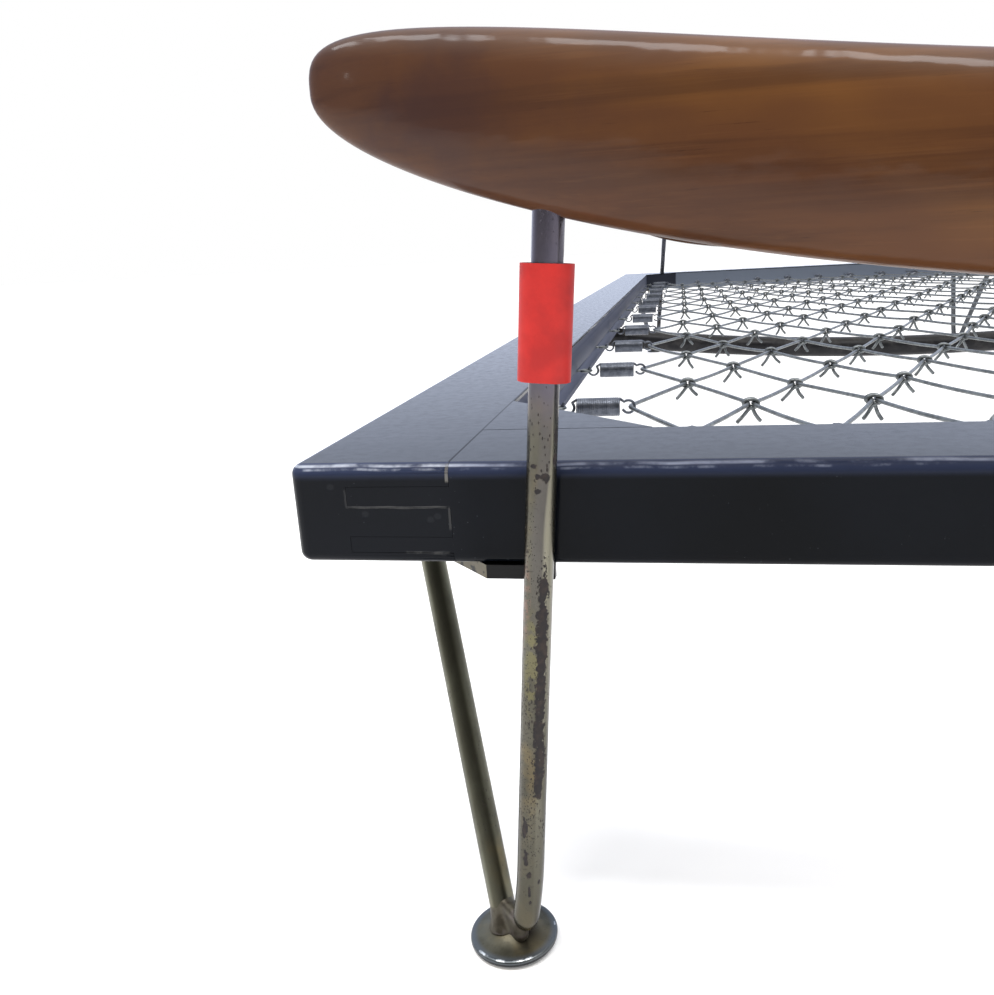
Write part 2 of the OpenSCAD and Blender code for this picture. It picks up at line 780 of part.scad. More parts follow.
first_plain_row = 1 + 2 * wound_springs;
module springs_left_wound() color(steel) at_corner() at_left_hooks(1, first_plain_row - 2) wound_spring();
module springs_left() color(steel) at_corner() at_left_hooks(first_plain_row, net_legs) plain_spring();
module springs_right() color(steel) foot_right() at_left_hooks(1, net_legs) plain_spring();
module springs_head() color(steel) at_corner() at_head_hooks() translate([end_shift, 0, 0]) plain_spring();
module springs_foot() color(steel) rotate([0, 0, 180]) springs_head();

module hooks_left() color(steel) at_corner() at_left_hooks(1, net_legs) rail_hook(hook_out);
module hooks_right() rotate([0, 0, 180]) hooks_left();
module hooks_head() color(steel) at_corner() at_head_hooks() rail_hook(hook_out + end_shift);
module hooks_foot() rotate([0, 0, 180]) hooks_head();

// The sleeve's flattened round outline, w wide and d deep, about the rod's middle line.
module sleeve_shape(w, d) {
    translate([-w / 2, -d / 2]) rounded_bar(w, d, d / 2, d / 2);
}

module marker_sleeve() {
    color("red") head_left() translate([rod_x, rod_y, 0]) rotate([0, rod_lean, 0])
        translate([0, 0, sleeve_lift]) linear_extrude(sleeve_h) difference() {
            sleeve_shape(sleeve_w, sleeve_y);
            sleeve_shape(sleeve_w - 2 * sleeve_t, sleeve_y - 2 * sleeve_t);
        }
}

side_rail_left();
side_rail_right();
end_rail_head();
end_rail_foot();
corner_block_head_left();
corner_block_head_right();
corner_block_foot_left();
corner_block_foot_right();
leg_plate_head_left();
leg_plate_head_right();
leg_plate_foot_left();
leg_plate_foot_right();
long_rod_head_left();
long_rod_head_right();
long_rod_foot_left();
long_rod_foot_right();
short_rod_head_left();
short_rod_head_right();
short_rod_foot_left();
short_rod_foot_right();
foot_disc_head_left();
foot_disc_head_right();
foot_disc_foot_left();
foot_disc_foot_right();
leg_welds();
leg_screws();
headboard();
footboard();
cross_tube();
tube_feet();
tube_screws();
net_wire();
net_clips();
springs_left_wound();
springs_left();
springs_right();
springs_head();
springs_foot();
hooks_left();
hooks_right();
hooks_head();
hooks_foot();
marker_sleeve();
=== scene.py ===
"""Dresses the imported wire-net daybed: finer meshes for rods, net, springs and boards, procedural finishes,
a pale floor, soft light and the photograph's camera.

Lengths are written in millimetres and built in metres. Places are measured from the head-left corner of
the frame's top, with X across the bed, Y along it and Z up."""

import math

import bmesh
import bpy
import numpy as np
from mathutils import Matrix, Vector


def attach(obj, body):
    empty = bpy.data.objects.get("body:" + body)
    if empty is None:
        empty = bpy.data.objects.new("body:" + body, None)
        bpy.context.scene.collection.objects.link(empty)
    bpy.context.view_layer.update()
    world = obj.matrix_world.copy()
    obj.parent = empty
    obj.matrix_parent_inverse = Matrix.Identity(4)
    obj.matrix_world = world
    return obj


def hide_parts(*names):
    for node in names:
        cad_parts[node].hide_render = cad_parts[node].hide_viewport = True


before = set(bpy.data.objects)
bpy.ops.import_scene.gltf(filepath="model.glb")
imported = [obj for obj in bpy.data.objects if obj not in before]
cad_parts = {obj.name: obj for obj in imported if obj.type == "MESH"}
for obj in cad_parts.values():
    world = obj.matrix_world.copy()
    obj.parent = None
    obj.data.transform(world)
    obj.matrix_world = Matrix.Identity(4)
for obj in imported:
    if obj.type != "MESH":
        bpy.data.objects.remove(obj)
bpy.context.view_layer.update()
rng = np.random.default_rng(11)

# ------ sizes, as in the frame
BED_L, BED_W, FRAME_TOP = 1980.0, 850.0, 192.0
RAIL_W, RAIL_H = 58.0, 36.0
ARRIS_R, ROUND_R = 4.0, 5.0
CORNERS = {"head_left": (1, 1), "head_right": (-1, 1), "foot_left": (1, -1), "foot_right": (-1, -1)}

# The legs. The brace is the short rod, the kink draws the long rod's foot towards it, and each disc leans.
ROD_R = 5.0
ROD_X, ROD_Y, ROD_SLOPE = 91.2, -5.5, math.tan(math.radians(4.2))
TIP_UP, TIP_R = 7.0, 4.0
KINK_TOP, KINK_DEPTH, KINK_BY = -152.0, 30.0, 2.0
PLATE_Z = -41.0
FLOOR_Z = -FRAME_TOP
FOOT_TOP = FLOOR_Z + 3.0
BRACE_HEAD = np.array([33.0, 53.0, PLATE_Z])
BRACE_FOOT = np.array([68.0, 0.8, FOOT_TOP])
FOOT_X, FOOT_Y, FOOT_R = 70.5, 1.0, 17.5
DISC_R, DISC_RIM, DISC_UNDER = FOOT_R - 0.4, 1.0, 1.6
DISC_LEAN = (0.038, 0.01, 0.016, 0.006)
ROD_SIDES = 48

# The boards. They swell and then taper towards their tips, blunter above than below.
BOARD_L, BOARD_H, BOARD_T, BOARD_UP, BOARD_RISE = 798.0, 57.0, 32.0, 71.5, 45.0
BOARD_SWELL, BOARD_TAPER, OVER_TIP, UNDER_TIP, SQUARENESS = 0.25, 3.3, 0.31, 0.44, 2.4
BOARD_SLICES, BOARD_SIDES = 121, 72

# The net, of runs along the bed and legs from knot to knot, and its clips.
NET_SIDE, NET_END, NET_DOWN = 49.0, 91.0, 22.0
NET_RUNS, NET_LEGS = 19, 21
NET_R = 1.2
WIRE_GAP = 0.3
PITCH_X = (BED_W - 2 * RAIL_W - 2 * NET_SIDE) / NET_RUNS
PITCH_Y = (BED_L - 2 * RAIL_W - 2 * NET_END) / NET_LEGS
NET_X0, NET_Y0 = RAIL_W + NET_SIDE, RAIL_W + NET_END
NET_TURN = math.atan(PITCH_X / PITCH_Y)
BEND_R = NET_R / math.cos(NET_TURN)
BEND_IN = BEND_R + WIRE_GAP / 2
NET_STUB = np.array([6, 13, 0])
KNOT_SCATTER = np.array([1.0, 1.8, 0.6])
CLIP_R, CLIP_TURNS = 1.1, 1.82

# The springs and their hooks. The net is further from the end rails, by END_SHIFT.
SPRING_OD, SPRING_WIRE, LOOP_R = 11.0, 1.6, 3.6
HOOK_WIRE, HOOK_R, HOOK_OUT = 1.8, 4.2, 2.6
FIRST_LOOP = HOOK_OUT + 2 * HOOK_R - HOOK_WIRE / 2 - WIRE_GAP - SPRING_WIRE / 2 + LOOP_R
LAST_LOOP = NET_SIDE + BEND_R + WIRE_GAP + SPRING_WIRE / 2 - LOOP_R
END_SHIFT = NET_END + NET_R - NET_SIDE - BEND_R


# ------ mesh tools
def corner_to_row(points, sx=1, sy=1):
    """Points measured from a corner of the frame at its top, in mm, to the row frame in metres."""
    p = np.asarray(points, float) + np.array([-BED_W / 2, -BED_L / 2, FRAME_TOP])
    return p * np.array([sx, sy, 1]) / 1000


def at_corner(shape, sx, sy):
    """A shape at the corner that sx and sy pick, its faces turned round where it is mirrored."""
    points, faces = shape
    if sx * sy < 0:
        faces = [face[::-1] for face in faces]
    return corner_to_row(points, sx, sy), faces


def joined(parts):
    """All the parts, each given as (points, faces), as one list of points and one of faces."""
    faces, base = [], 0
    for points, part_faces in parts:
        faces += [[i + base for i in face] for face in part_faces]
        base += len(points)
    return np.concatenate([points for points, _ in parts]).tolist(), faces


def add_object(name, data):
    """A new object in the scene."""
    obj = bpy.data.objects.new(name, data)
    bpy.context.scene.collection.objects.link(obj)
    return obj


def shade_smooth(mesh, crease=None):
    """Smooth shading. Edges that turn by more than the crease, in degrees, stay sharp."""
    mesh.polygons.foreach_set("use_smooth", [True] * len(mesh.polygons))
    if crease is not None:
        mesh.set_sharp_from_angle(angle=math.radians(crease))


def make(name, parts, material, slot, *nodes, crease=None):
    """One object from a list of (points, faces), riding on the root body and standing in for the nodes."""
    mesh = bpy.data.meshes.new(name)
    points, faces = joined(parts)
    mesh.from_pydata(points, [], faces)
    shade_smooth(mesh, crease)
    mesh.materials.append(material)
    obj = add_object(name, mesh)
    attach(obj, "root")
    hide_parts(*nodes)
    return obj


def grid_faces(rings, sides):
    """Quads between rings of points, and one face over each end."""
    faces = [
        [i * sides + k, i * sides + (k + 1) % sides, (i + 1) * sides + (k + 1) % sides, (i + 1) * sides + k]
        for i in range(rings - 1)
        for k in range(sides)
    ]
    faces.append(list(range(sides))[::-1])
    faces.append([(rings - 1) * sides + k for k in range(sides)])
    return faces


def domed(path, radius):
    """Adds a few shrinking rings at both ends, so that a cut wire has rounded tips."""
    steps, length = np.array([0.35, 0.7, 0.93]), 0.6
    first, last = path[0] - path[1], path[-1] - path[-2]
    first, last = first / np.linalg.norm(first), last / np.linalg.norm(last)
    head = [path[0] + first * radius[0] * s * length for s in steps[::-1]]
    tail = [path[-1] + last * radius[-1] * s * length for s in steps]
    shrink = np.sqrt(1 - steps**2)
    radii = np.concatenate([radius[0] * shrink[::-1], radius, radius[-1] * shrink])
    return np.array(head + list(path) + tail), radii


def sweep(path, radius, sides=8, round_ends=False):
    """A round tube along a path, its frame carried along so that it doesn't twist."""
    path = np.asarray(path, float)
    radius = np.broadcast_to(np.asarray(radius, float), (len(path),)).copy()
    if round_ends:
        path, radius = domed(path, radius)
    tangent = np.gradient(path, axis=0)
    tangent /= np.linalg.norm(tangent, axis=1)[:, None]
    off_every_path = [0.13, 0.31, 0.94]
    side = np.cross(tangent[0], off_every_path)
    turn = np.arange(sides) * 2 * math.pi / sides
    rings = []
    for p, t, r in zip(path, tangent, radius):
        side = side - t * (side @ t)
        side /= np.linalg.norm(side)
        other = np.cross(t, side)
        rings.append(p + r * (np.cos(turn)[:, None] * side + np.sin(turn)[:, None] * other))
    return np.concatenate(rings), grid_faces(len(path), sides)


def smooth_path(points, step):
    """A smooth curve through the points, with about one point every step mm."""
    p = np.asarray(points, float)
    p = np.vstack([2 * p[0] - p[1], p, 2 * p[-1] - p[-2]])
    out = []
    for a, b, c, d in zip(p[:-3], p[1:-2], p[2:-1], p[3:]):
        n = max(1, round(np.linalg.norm(c - b) / step))
        square, cube = 2 * a - 5 * b + 4 * c - d, 3 * b - 3 * c + d - a
        out += [0.5 * (2 * b + (c - a) * t + square * t**2 + cube * t**3) for t in np.arange(n) / n]
    out.append(p[-2])
    return np.array(out)


def revolve(profile, centre, sides):
    """A closed solid of revolution round a vertical axis, on which the profile starts and ends."""
    turn = np.arange(sides) * 2 * math.pi / sides
    x, y = centre
    verts = [[x, y, profile[0][1]]]
    for r, z in profile[1:-1]:
        verts += [[x + r * math.cos(a), y + r * math.sin(a), z] for a in turn]
    verts.append([x, y, profile[-1][1]])
    rings, last = len(profile) - 2, len(verts) - 1
    faces = [[0, 1 + (k + 1) % sides, 1 + k] for k in range(sides)]
    for i in range(rings - 1):
        for k in range(sides):
            a, b = 1 + i * sides + k, 1 + i * sides + (k + 1) % sides
            faces.append([a, b, b + sides, a + sides])
    faces += [[last, last - sides + k, last - sides + (k + 1) % sides] for k in range(sides)]
    return np.array(verts), faces


# ------ node tools
def srgb(r, g, b):
    """A colour given as it looks on screen, from 0 to 255, as linear light."""
    return tuple((v / 255 / 12.92) if v <= 10 else ((v / 255 + 0.055) / 1.055) ** 2.4 for v in (r, g, b))


class Nodes:
    """A node tree, with short calls for the nodes that it is made of."""

    def __init__(self, tree, where):
        self.tree = tree
        self.where = self.node("ShaderNodeTexCoord").outputs[where]
        self.x, self.y, self.z = self.node("ShaderNodeSeparateXYZ", Vector=self.where).outputs

    def node(self, kind, **inputs):
        made = self.tree.nodes.new(kind)
        for key, value in inputs.items():
            self.put(made.inputs[key.replace("_", " ")], value)
        return made

    def put(self, socket, value):
        """Links a socket's value, or sets a plain one."""
        if isinstance(value, bpy.types.NodeSocket):
            self.tree.links.new(value, socket)
        elif isinstance(value, tuple) and len(value) == 3 and socket.type == "RGBA":
            socket.default_value = (*value, 1)
        else:
            socket.default_value = value

    def math(self, what, *values):
        made = self.tree.nodes.new("ShaderNodeMath")
        made.operation = what
        for socket, value in zip(made.inputs, values):
            self.put(socket, value)
        return made.outputs[0]

    def chained(self, what, first, *others):
        """The same step with each further value, from the left."""
        for other in others:
            first = self.math(what, first, other)
        return first

    def plus(self, *values):
        return self.chained("ADD", *values)

    def minus(self, *values):
        return self.chained("SUBTRACT", *values)

    def times(self, *values):
        return self.chained("MULTIPLY", *values)

    def most(self, *values):
        return self.chained("MAXIMUM", *values)

    def least(self, *values):
        return self.chained("MINIMUM", *values)

    def absolute(self, value):
        return self.math("ABSOLUTE", value)

    def reach(self, a, b):
        """How far the place (a, b) is from (0, 0)."""
        return self.math("SQRT", self.plus(self.times(a, a), self.times(b, b)))

    def between(self, value, low, high, to_low=0.0, to_high=1.0):
        """Goes softly from to_low to to_high as the value goes from low to high."""
        made = self.node("ShaderNodeMapRange", Value=value)
        made.interpolation_type = "SMOOTHSTEP"
        for key, v in zip(("From Min", "From Max", "To Min", "To Max"), (low, high, to_low, to_high)):
            self.put(made.inputs[key], v)
        return made.outputs[0]

    def near(self, value, at, half, soft=0.4):
        """1 within half of the value at, falling to 0 over a further soft share of half."""
        return self.between(self.absolute(self.plus(value, -at)), half, half * (1 + soft), 1, 0)

    def spot(self, a, b, at, half):
        """1 at the place, falling evenly to 0 at the edge of an oval."""
        u = self.math("DIVIDE", self.plus(a, -at[0]), half[0])
        v = self.math("DIVIDE", self.plus(b, -at[1]), half[1])
        return self.most(self.minus(1.0, self.reach(u, v)), 0.0)

    def stretched(self, sx, sy, sz):
        """Places for a texture that is packed closer along each axis by its share."""
        return self.node("ShaderNodeMapping", Vector=self.where, Scale=(sx, sy, sz)).outputs[0]

    def noise(self, scale, detail=4.0, rough=0.55, vector=None, distortion=0.0):
        """A cloudy pattern with scale waves in a metre."""
        settings = {"Scale": scale, "Detail": detail, "Roughness": rough, "Distortion": distortion}
        return self.node("ShaderNodeTexNoise", Vector=vector or self.where, **settings).outputs["Fac"]

    def cells(self, scale, vector=None):
        """How far the next of many scattered seeds is, with scale seeds in a metre."""
        made = self.node("ShaderNodeTexVoronoi", Vector=vector or self.where, Scale=scale)
        return made.outputs["Distance"]

    def ramp(self, value, *stops):
        """A colour ramp through the (place, colour) stops."""
        made = self.node("ShaderNodeValToRGB", Fac=value)
        elements = made.color_ramp.elements
        elements.remove(elements[0])
        for i, (at, colour) in enumerate(stops):
            element = elements[0] if i == 0 else elements.new(at)
            element.position = at
            element.color = (*colour, 1)
        return made.outputs["Color"]

    def mix(self, share, a, b, blend="MIX"):
        made = self.tree.nodes.new("ShaderNodeMix")
        made.data_type = "RGBA"
        made.blend_type = blend
        for key, value in (("Factor", share), (6, a), (7, b)):
            self.put(made.inputs[key], value)
        return made.outputs[2]


class Finish(Nodes):
    """A material whose colour is built up in layers."""

    def __init__(self, name):
        self.material = bpy.data.materials.new(name)
        self.material.use_nodes = True
        super().__init__(self.material.node_tree, "Object")
        self.shader = self.tree.nodes["Principled BSDF"]

    def ground(self, share, light, dark):
        """The first layer of colour."""
        self.colour = self.mix(share, srgb(*light), srgb(*dark))

    def tint(self, share, *colour):
        """A further layer, laid over the colour so far by its share."""
        self.colour = self.mix(share, self.colour, srgb(*colour))

    def set(self, **inputs):
        for key, value in inputs.items():
            self.put(self.shader.inputs[key.replace("_", " ")], value)

    def bump(self, height, depth):
        """Raises the surface by height times depth, in mm."""
        return self.node("ShaderNodeBump", Height=height, Distance=depth / 1000, Strength=1.0).outputs[0]

    def kept(self, name):
        """A place kept on the mesh, as its three numbers."""
        made = self.tree.nodes.new("ShaderNodeAttribute")
        made.attribute_name = name
        return self.node("ShaderNodeSeparateXYZ", Vector=made.outputs["Vector"]).outputs


# ------ paint
# Places on it are (in from the outer side face, up from the frame's top), in mm.
NAIL_HEADS = ((15.4, -7.9), (27.2, -17.7), (50.7, -19.7), (53.3, -18.5), (54.2, -31.9))
NAIL_HALF = (1.9, 1.7)


def joint_marks(f, in_x, in_y, up):
    """Where the corner's joint shows on the frame's end: its open top, its cracks and the nail heads."""
    wander = f.times(f.plus(f.noise(90, 3), -0.5), 1.2)
    on_face = f.between(in_y, 6, 8, 1, 0)

    def line(across, at, along, low, high, half=0.35):
        past_low = f.between(along, low - 0.6, low + 0.6)
        past_high = f.between(along, high - 0.6, high + 0.6, 1, 0)
        return f.times(f.near(f.plus(across, wander), at, half), f.times(past_low, past_high), on_face)

    ledge_gaps = f.between(f.noise(120, 3), 0.3, 0.6, 0.45, 1.0)
    foot_gaps = f.between(f.noise(140, 3), 0.4, 0.6, 0.1, 0.45)
    cracks = f.most(
        f.times(line(up, -15.2, in_x, 20.5, 56.8), ledge_gaps, 0.28),
        f.times(line(in_x, 57.6, up, -23.2, -15.2), 0.2),
        f.times(line(up, -31.6, in_x, 41, 56.5, 0.4), foot_gaps, 0.7),
        f.times(line(in_x, 20.5, up, -15.2, -9.0), 0.1),
    )
    open_top = line(in_x, 57.4, up, -6.2, -0.6, 0.5)
    nails = [f.between(f.spot(in_x, up, at, NAIL_HALF), 0.05, 0.6) for at in NAIL_HEADS]
    return open_top, cracks, f.times(f.most(*nails), on_face)


def arris_painted_highlights(f, depth, arris):
    """Painted highlights: two broken bright lines along the rounded edge at the frame's top."""
    wavy = f.plus(depth, f.times(f.plus(f.noise(26, 2), -0.5), 1.5))
    upper = f.times(f.near(wavy, 0.8, 0.1, 5.0), f.between(f.noise(60, 4, 0.6), 0.38, 0.66))
    lower = f.times(f.near(wavy, 1.9, 0.1, 5.0), f.between(f.noise(85, 5, 0.6), 0.46, 0.68, 0, 0.7))
    return f.times(f.most(upper, lower), arris)


def frame_paint():
    """Dark blue-black gloss paint, thin over the corner joints, with painted reflection and painted
    highlights along the top's edges, and inner faces painted lighter.
    """
    f = Finish("frame_paint")
    in_x = f.plus(BED_W / 2, f.times(f.absolute(f.x), -1000))
    in_y = f.plus(BED_L / 2, f.times(f.absolute(f.y), -1000))
    up = f.plus(f.times(f.z, 1000), -FRAME_TOP)
    depth, outer = f.times(up, -1), f.least(in_x, in_y)
    joint, cracks, nails = joint_marks(f, in_x, in_y, up)
    f.ground(f.between(f.noise(14, 3, 0.5), 0.35, 0.7), (6, 8, 12), (11, 14, 20))
    near_corner = f.times(f.between(in_x, 50, 70, 1, 0), f.between(in_y, 0, 20, 1, 0))
    f.tint(f.times(near_corner, 0.6), 21, 23, 28)
    dust = f.times(f.between(f.cells(420), 0.07, 0.1, 1, 0), f.between(f.noise(55, 2), 0.56, 0.66))
    f.tint(f.times(dust, 0.25), 95, 98, 105)
    f.tint(cracks, 112, 112, 112)
    f.tint(f.times(nails, 0.22), 50, 52, 56)
    # Painted reflection: a lighter navy band round the top's outer rounded edges.
    arris = f.times(f.between(outer, 3.4, 3.9, 1, 0), f.between(depth, 1.5, 6.0, 1, 0))
    f.tint(arris, 50, 57, 80)
    # Painted highlights along those edges, whiter near the corners.
    bright = f.mix(f.times(near_corner, 0.7), srgb(134, 142, 164), srgb(190, 197, 210))
    f.colour = f.mix(arris_painted_highlights(f, depth, arris), f.colour, bright)
    f.tint(f.times(joint, 0.65), 122, 120, 116)
    # Painted light: below the top, the faces inside the frame are painted lighter, the side rails' inner
    # faces more and the head and foot rails' inner faces most.
    below = f.between(depth, 1.0, 3.0)
    f.tint(f.times(f.between(outer, RAIL_W - 0.5, RAIL_W + 0.3), below, 0.8), 42, 45, 54)
    inner_side = f.times(f.near(in_x, RAIL_W, 0.4), below, f.between(in_y, RAIL_W, RAIL_W + 2))
    inner_end = f.times(f.near(in_y, RAIL_W, 0.4), below, f.between(in_x, RAIL_W, RAIL_W + 2))
    f.tint(f.times(inner_side, 0.85), 66, 70, 86)
    f.tint(f.times(inner_end, 0.85), 100, 108, 122)
    fine = f.noise(240, 4, 0.6)
    gloss = f.between(fine, 0.3, 0.75, 0.13, 0.22)
    f.set(Base_Color=f.colour, IOR=1.5, Specular_IOR_Level=0.07)
    f.set(Roughness=f.most(gloss, f.times(f.most(inner_side, inner_end), 0.6)))
    broad, middle = f.noise(30, 3, 0.5), f.noise(150, 3, 0.5)
    swell = f.plus(f.times(broad, 0.5), f.times(middle, 0.06), f.times(fine, 0.02))
    sunk = f.times(f.most(cracks, joint, f.times(nails, 0.6)), 0.5)
    f.set(Normal=f.bump(f.minus(swell, sunk), 0.24))
    return f.material


# ------ varnish
def board_varnish():
    """Varnished hardwood: long brown figure, fine pores, golden patches and a darker, redder end."""
    f = Finish("board_varnish")
    grain_at = f.stretched(0.7, 22, 34)
    figure = f.noise(1.3, 3, 0.5, f.stretched(0.8, 6, 9), 0.3)
    grain = f.noise(4.0, 5, 0.6, grain_at, 0.15)
    streak = f.noise(16, 5, 0.65, grain_at)
    patch = f.noise(1.0, 3, 0.55, f.stretched(5, 8, 16), 0.4)
    dark, brown, light = srgb(56, 32, 22), srgb(72, 43, 27), srgb(84, 53, 31)
    f.colour = f.ramp(figure, (0.28, dark), (0.44, brown), (0.58, light), (0.75, brown))
    f.tint(f.between(patch, 0.46, 0.68, 0, 0.85), 103, 67, 32)
    f.tint(f.between(grain, 0.45, 0.66, 0, 0.45), 46, 27, 20)
    f.tint(f.between(streak, 0.52, 0.74, 0, 0.2), 118, 78, 46)
    pores = f.between(f.noise(44, 4, 0.7, grain_at), 0.64, 0.74)
    f.tint(f.times(pores, 0.5), 32, 18, 14)
    towards_end = f.between(f.times(f.absolute(f.x), 1000), 260, 390)
    mottle = f.between(f.noise(28, 4, 0.6), 0.4, 0.65, 0.55, 0.9)
    f.tint(f.times(towards_end, mottle), 54, 37, 36)
    f.set(Base_Color=f.colour, Roughness=0.45, IOR=1.5, Specular_IOR_Level=0.06)
    f.set(Coat_Weight=0.23, Coat_Roughness=0.12, Coat_IOR=1.5)
    wave = f.plus(f.noise(22, 3, 0.5), f.times(f.noise(70, 3, 0.5, f.stretched(0.4, 1, 1)), 0.18))
    f.set(Normal=f.bump(f.plus(wave, f.times(streak, 0.03)), 0.5))
    f.set(Coat_Normal=f.bump(f.plus(wave, f.times(f.noise(9, 2), 0.8)), 2.2))
    return f.material


# ------ worn steel
# Wear is laid out as ((turn, height), (half sizes)). The turn, in degrees, is 0 on the side away from the
# bed, and the height, in mm, is 0 at the frame's top. The painted glints on the foot disc's rim are (x, y)
# in mm.
RUST_TRAIL = (
    ((28, -60), (38, 40)), ((29, -40), (36, 7)), ((29, -80), (34, 30)), ((27, -95), (36, 14)),
    ((36, -106), (44, 11)), ((30, -115), (30, 11)),
)
RUST_BLOTS = (
    ((28, -2.4), (27, 2.5)), ((-22, 1.4), (19, 1.3)), ((-7, -2.0), (16, 1.2)), ((-8, -6.9), (19, 1.3)),
    ((14, -2.2), (18, 1.1)), ((70, 10.5), (22, 5)), ((68, 3), (22, 3.4)), ((-22, -134), (22, 7)),
    ((-14, -146), (18, 5)), ((2, -153.5), (15, 2.0)), ((5, -161), (9, 3.6)), ((10, -165.5), (8, 1.4)),
    ((48, -157.5), (9, 1.5)),
)
FINE_SPECKS = (((-42, -27), (62, 42)), ((-34, -84), (84, 60)), ((-8, -132), (96, 50)))
RIM_GLINTS = (
    ((-10, -13), (4.6, 3.2)), ((-2.4, -16.2), (3.0, 2.6)), ((4.7, -15.7), (3.6, 2.6)),
    ((8.2, -14.2), (3.0, 2.2)),
)


class WornSteel(Finish):
    """Old plated steel, khaki grey and clouded, with pits and rust specks."""

    def __init__(self, name, light, dark, rust):
        super().__init__(name)
        self.dx, self.dy, self.up = self.kept("worn_place")
        self.turn = self.times(self.math("ARCTAN2", self.dx, self.times(self.dy, -1.0)), 180 / math.pi)
        self.cloud = self.noise(55, 5, 0.6, self.stretched(1, 1, 0.3))
        self.ragged = self.plus(self.noise(620, 4, 0.7, self.stretched(1, 1, 0.7)), -0.5)
        self.ground(self.between(self.cloud, 0.35, 0.68), light, dark)
        stain = self.between(self.noise(30, 4, 0.6), 0.5, 0.68)
        self.tint(self.times(stain, 0.35), 134, 116, 78)
        fleck = self.plus(self.cells(820, self.stretched(1, 1, 0.5)), self.times(self.ragged, 0.6))
        dense = self.between(self.noise(45, 3, 0.6, self.stretched(1, 1, 0.6)), 0.42, 0.7, 0.02, 0.27)
        self.marks = self.times(self.between(self.minus(fleck, dense), -0.02, 0.02, 1, 0), 0.8 * rust)

    def ovals(self, places):
        """Soft ovals laid out round the rod."""
        return self.most(*(self.spot(self.turn, self.up, at, half) for at, half in places))

    def greyer_foot_end(self):
        """A grey tint on the legs at the bed's foot end."""
        self.tint(self.times(self.between(self.y, -0.7, 0.0), 0.75), 84, 88, 97)

    def finished(self, gloss):
        """Lays the rust marks over the colour, dull and sunk, and gives the material."""
        rusty = self.mix(self.between(self.noise(380, 3), 0.4, 0.75), srgb(24, 19, 21), srgb(46, 35, 31))
        dull = self.plus(self.marks, self.times(self.cloud, 0.3))
        raised = self.plus(self.times(self.cloud, 0.4), self.times(self.ragged, 0.12))
        self.set(Base_Color=self.mix(self.marks, self.colour, rusty))
        self.set(Metallic=self.between(self.marks, 0, 1, 0.93, 0.05))
        self.set(Roughness=self.between(dull, 0, 1, gloss, 0.75))
        self.set(Normal=self.bump(self.minus(raised, self.marks), 0.13))
        return self.material


def rod_tints(f):
    """Painted reflections as a pale band down the rod and a grey one beside it, red and olive tints, and a
    dark foot with painted shade on one side.
    """
    # Painted reflections: a pale band and a grey band, set by the turn round the rod.
    past_edge = f.minus(f.turn, f.between(f.up, -24, 12, 22.0, 44.0))
    pale = f.times(f.between(past_edge, -5, 6), f.between(f.turn, 62, 82, 1, 0))
    f.tint(f.times(pale, f.between(f.up, -150, -20, 0.25, 0.75)), 126, 123, 109)
    grey = f.times(f.near(past_edge, -20, 11, 2.4), f.between(f.up, -75, -22))
    f.tint(f.times(grey, 0.55), 80, 77, 77)
    red_gaps, olive_gaps = f.between(f.noise(420, 4, 0.7), 0.42, 0.6), f.between(f.noise(260, 3), 0.4, 0.55)
    red_spot = f.times(f.spot(f.turn, f.up, (-62, -46), (46, 20)), red_gaps, 1.6)
    olive_spot = f.times(f.spot(f.turn, f.up, (-14, -68), (40, 22)), olive_gaps, 1.6)
    f.tint(f.least(red_spot, 0.6), 116, 92, 82)
    f.tint(f.least(olive_spot, 0.6), 100, 96, 68)
    f.tint(f.between(f.up, -176, -120, 0.75, 0), 72, 70, 61)
    foot_shade = f.times(f.between(f.up, -181, -158, 1, 0), f.between(f.turn, 22, 50))
    f.tint(f.times(foot_shade, 0.85), 50, 46, 38)


def rod_rust(f):
    """A long trail of rust, blots above and below it, and fine specks. The rod's top is cleaner, and tinted
    purple-grey as painted reflection.
    """
    trail, blots = f.least(f.ovals(RUST_TRAIL), 0.66), f.least(f.ovals(RUST_BLOTS), 0.66)
    fleck = f.plus(f.cells(1500, f.stretched(1, 1, 0.6)), f.times(f.ragged, 0.9))
    f.marks = f.most(
        f.marks,
        f.between(f.minus(fleck, f.times(f.ovals(FINE_SPECKS), 0.34)), -0.03, 0.03, 0.75, 0),
        f.between(f.plus(trail, f.times(f.ragged, 1.7)), 0.34, 0.4),
        f.between(f.plus(blots, f.times(f.ragged, 1.9)), 0.36, 0.42),
    )
    # Above the frame: fewer marks, and a purple-grey tint that is painted reflection.
    upper = f.between(f.up, 8, 34)
    f.tint(f.times(upper, 0.8), 88, 84, 98)
    f.marks = f.times(f.marks, f.between(upper, 0, 1, 1, 0.25))


def long_rod_steel():
    """The darkest and glossiest, with rust all the way down."""
    f = WornSteel("rod_steel", (84, 82, 73), (63, 61, 54), rust=1.0)
    rod_tints(f)
    rod_rust(f)
    f.greyer_foot_end()
    return f.finished(gloss=0.22)


def short_rod_steel():
    """Paler and duller, with a band of painted shade down the side away from the bed."""
    f = WornSteel("brace_steel", (104, 104, 91), (76, 75, 65), rust=0.7)
    # Painted shade: a dark band down the side away from the bed.
    f.tint(f.times(f.near(f.turn, 6, 20, 1.3), 0.7), 48, 47, 38)
    f.greyer_foot_end()
    return f.finished(gloss=0.36)


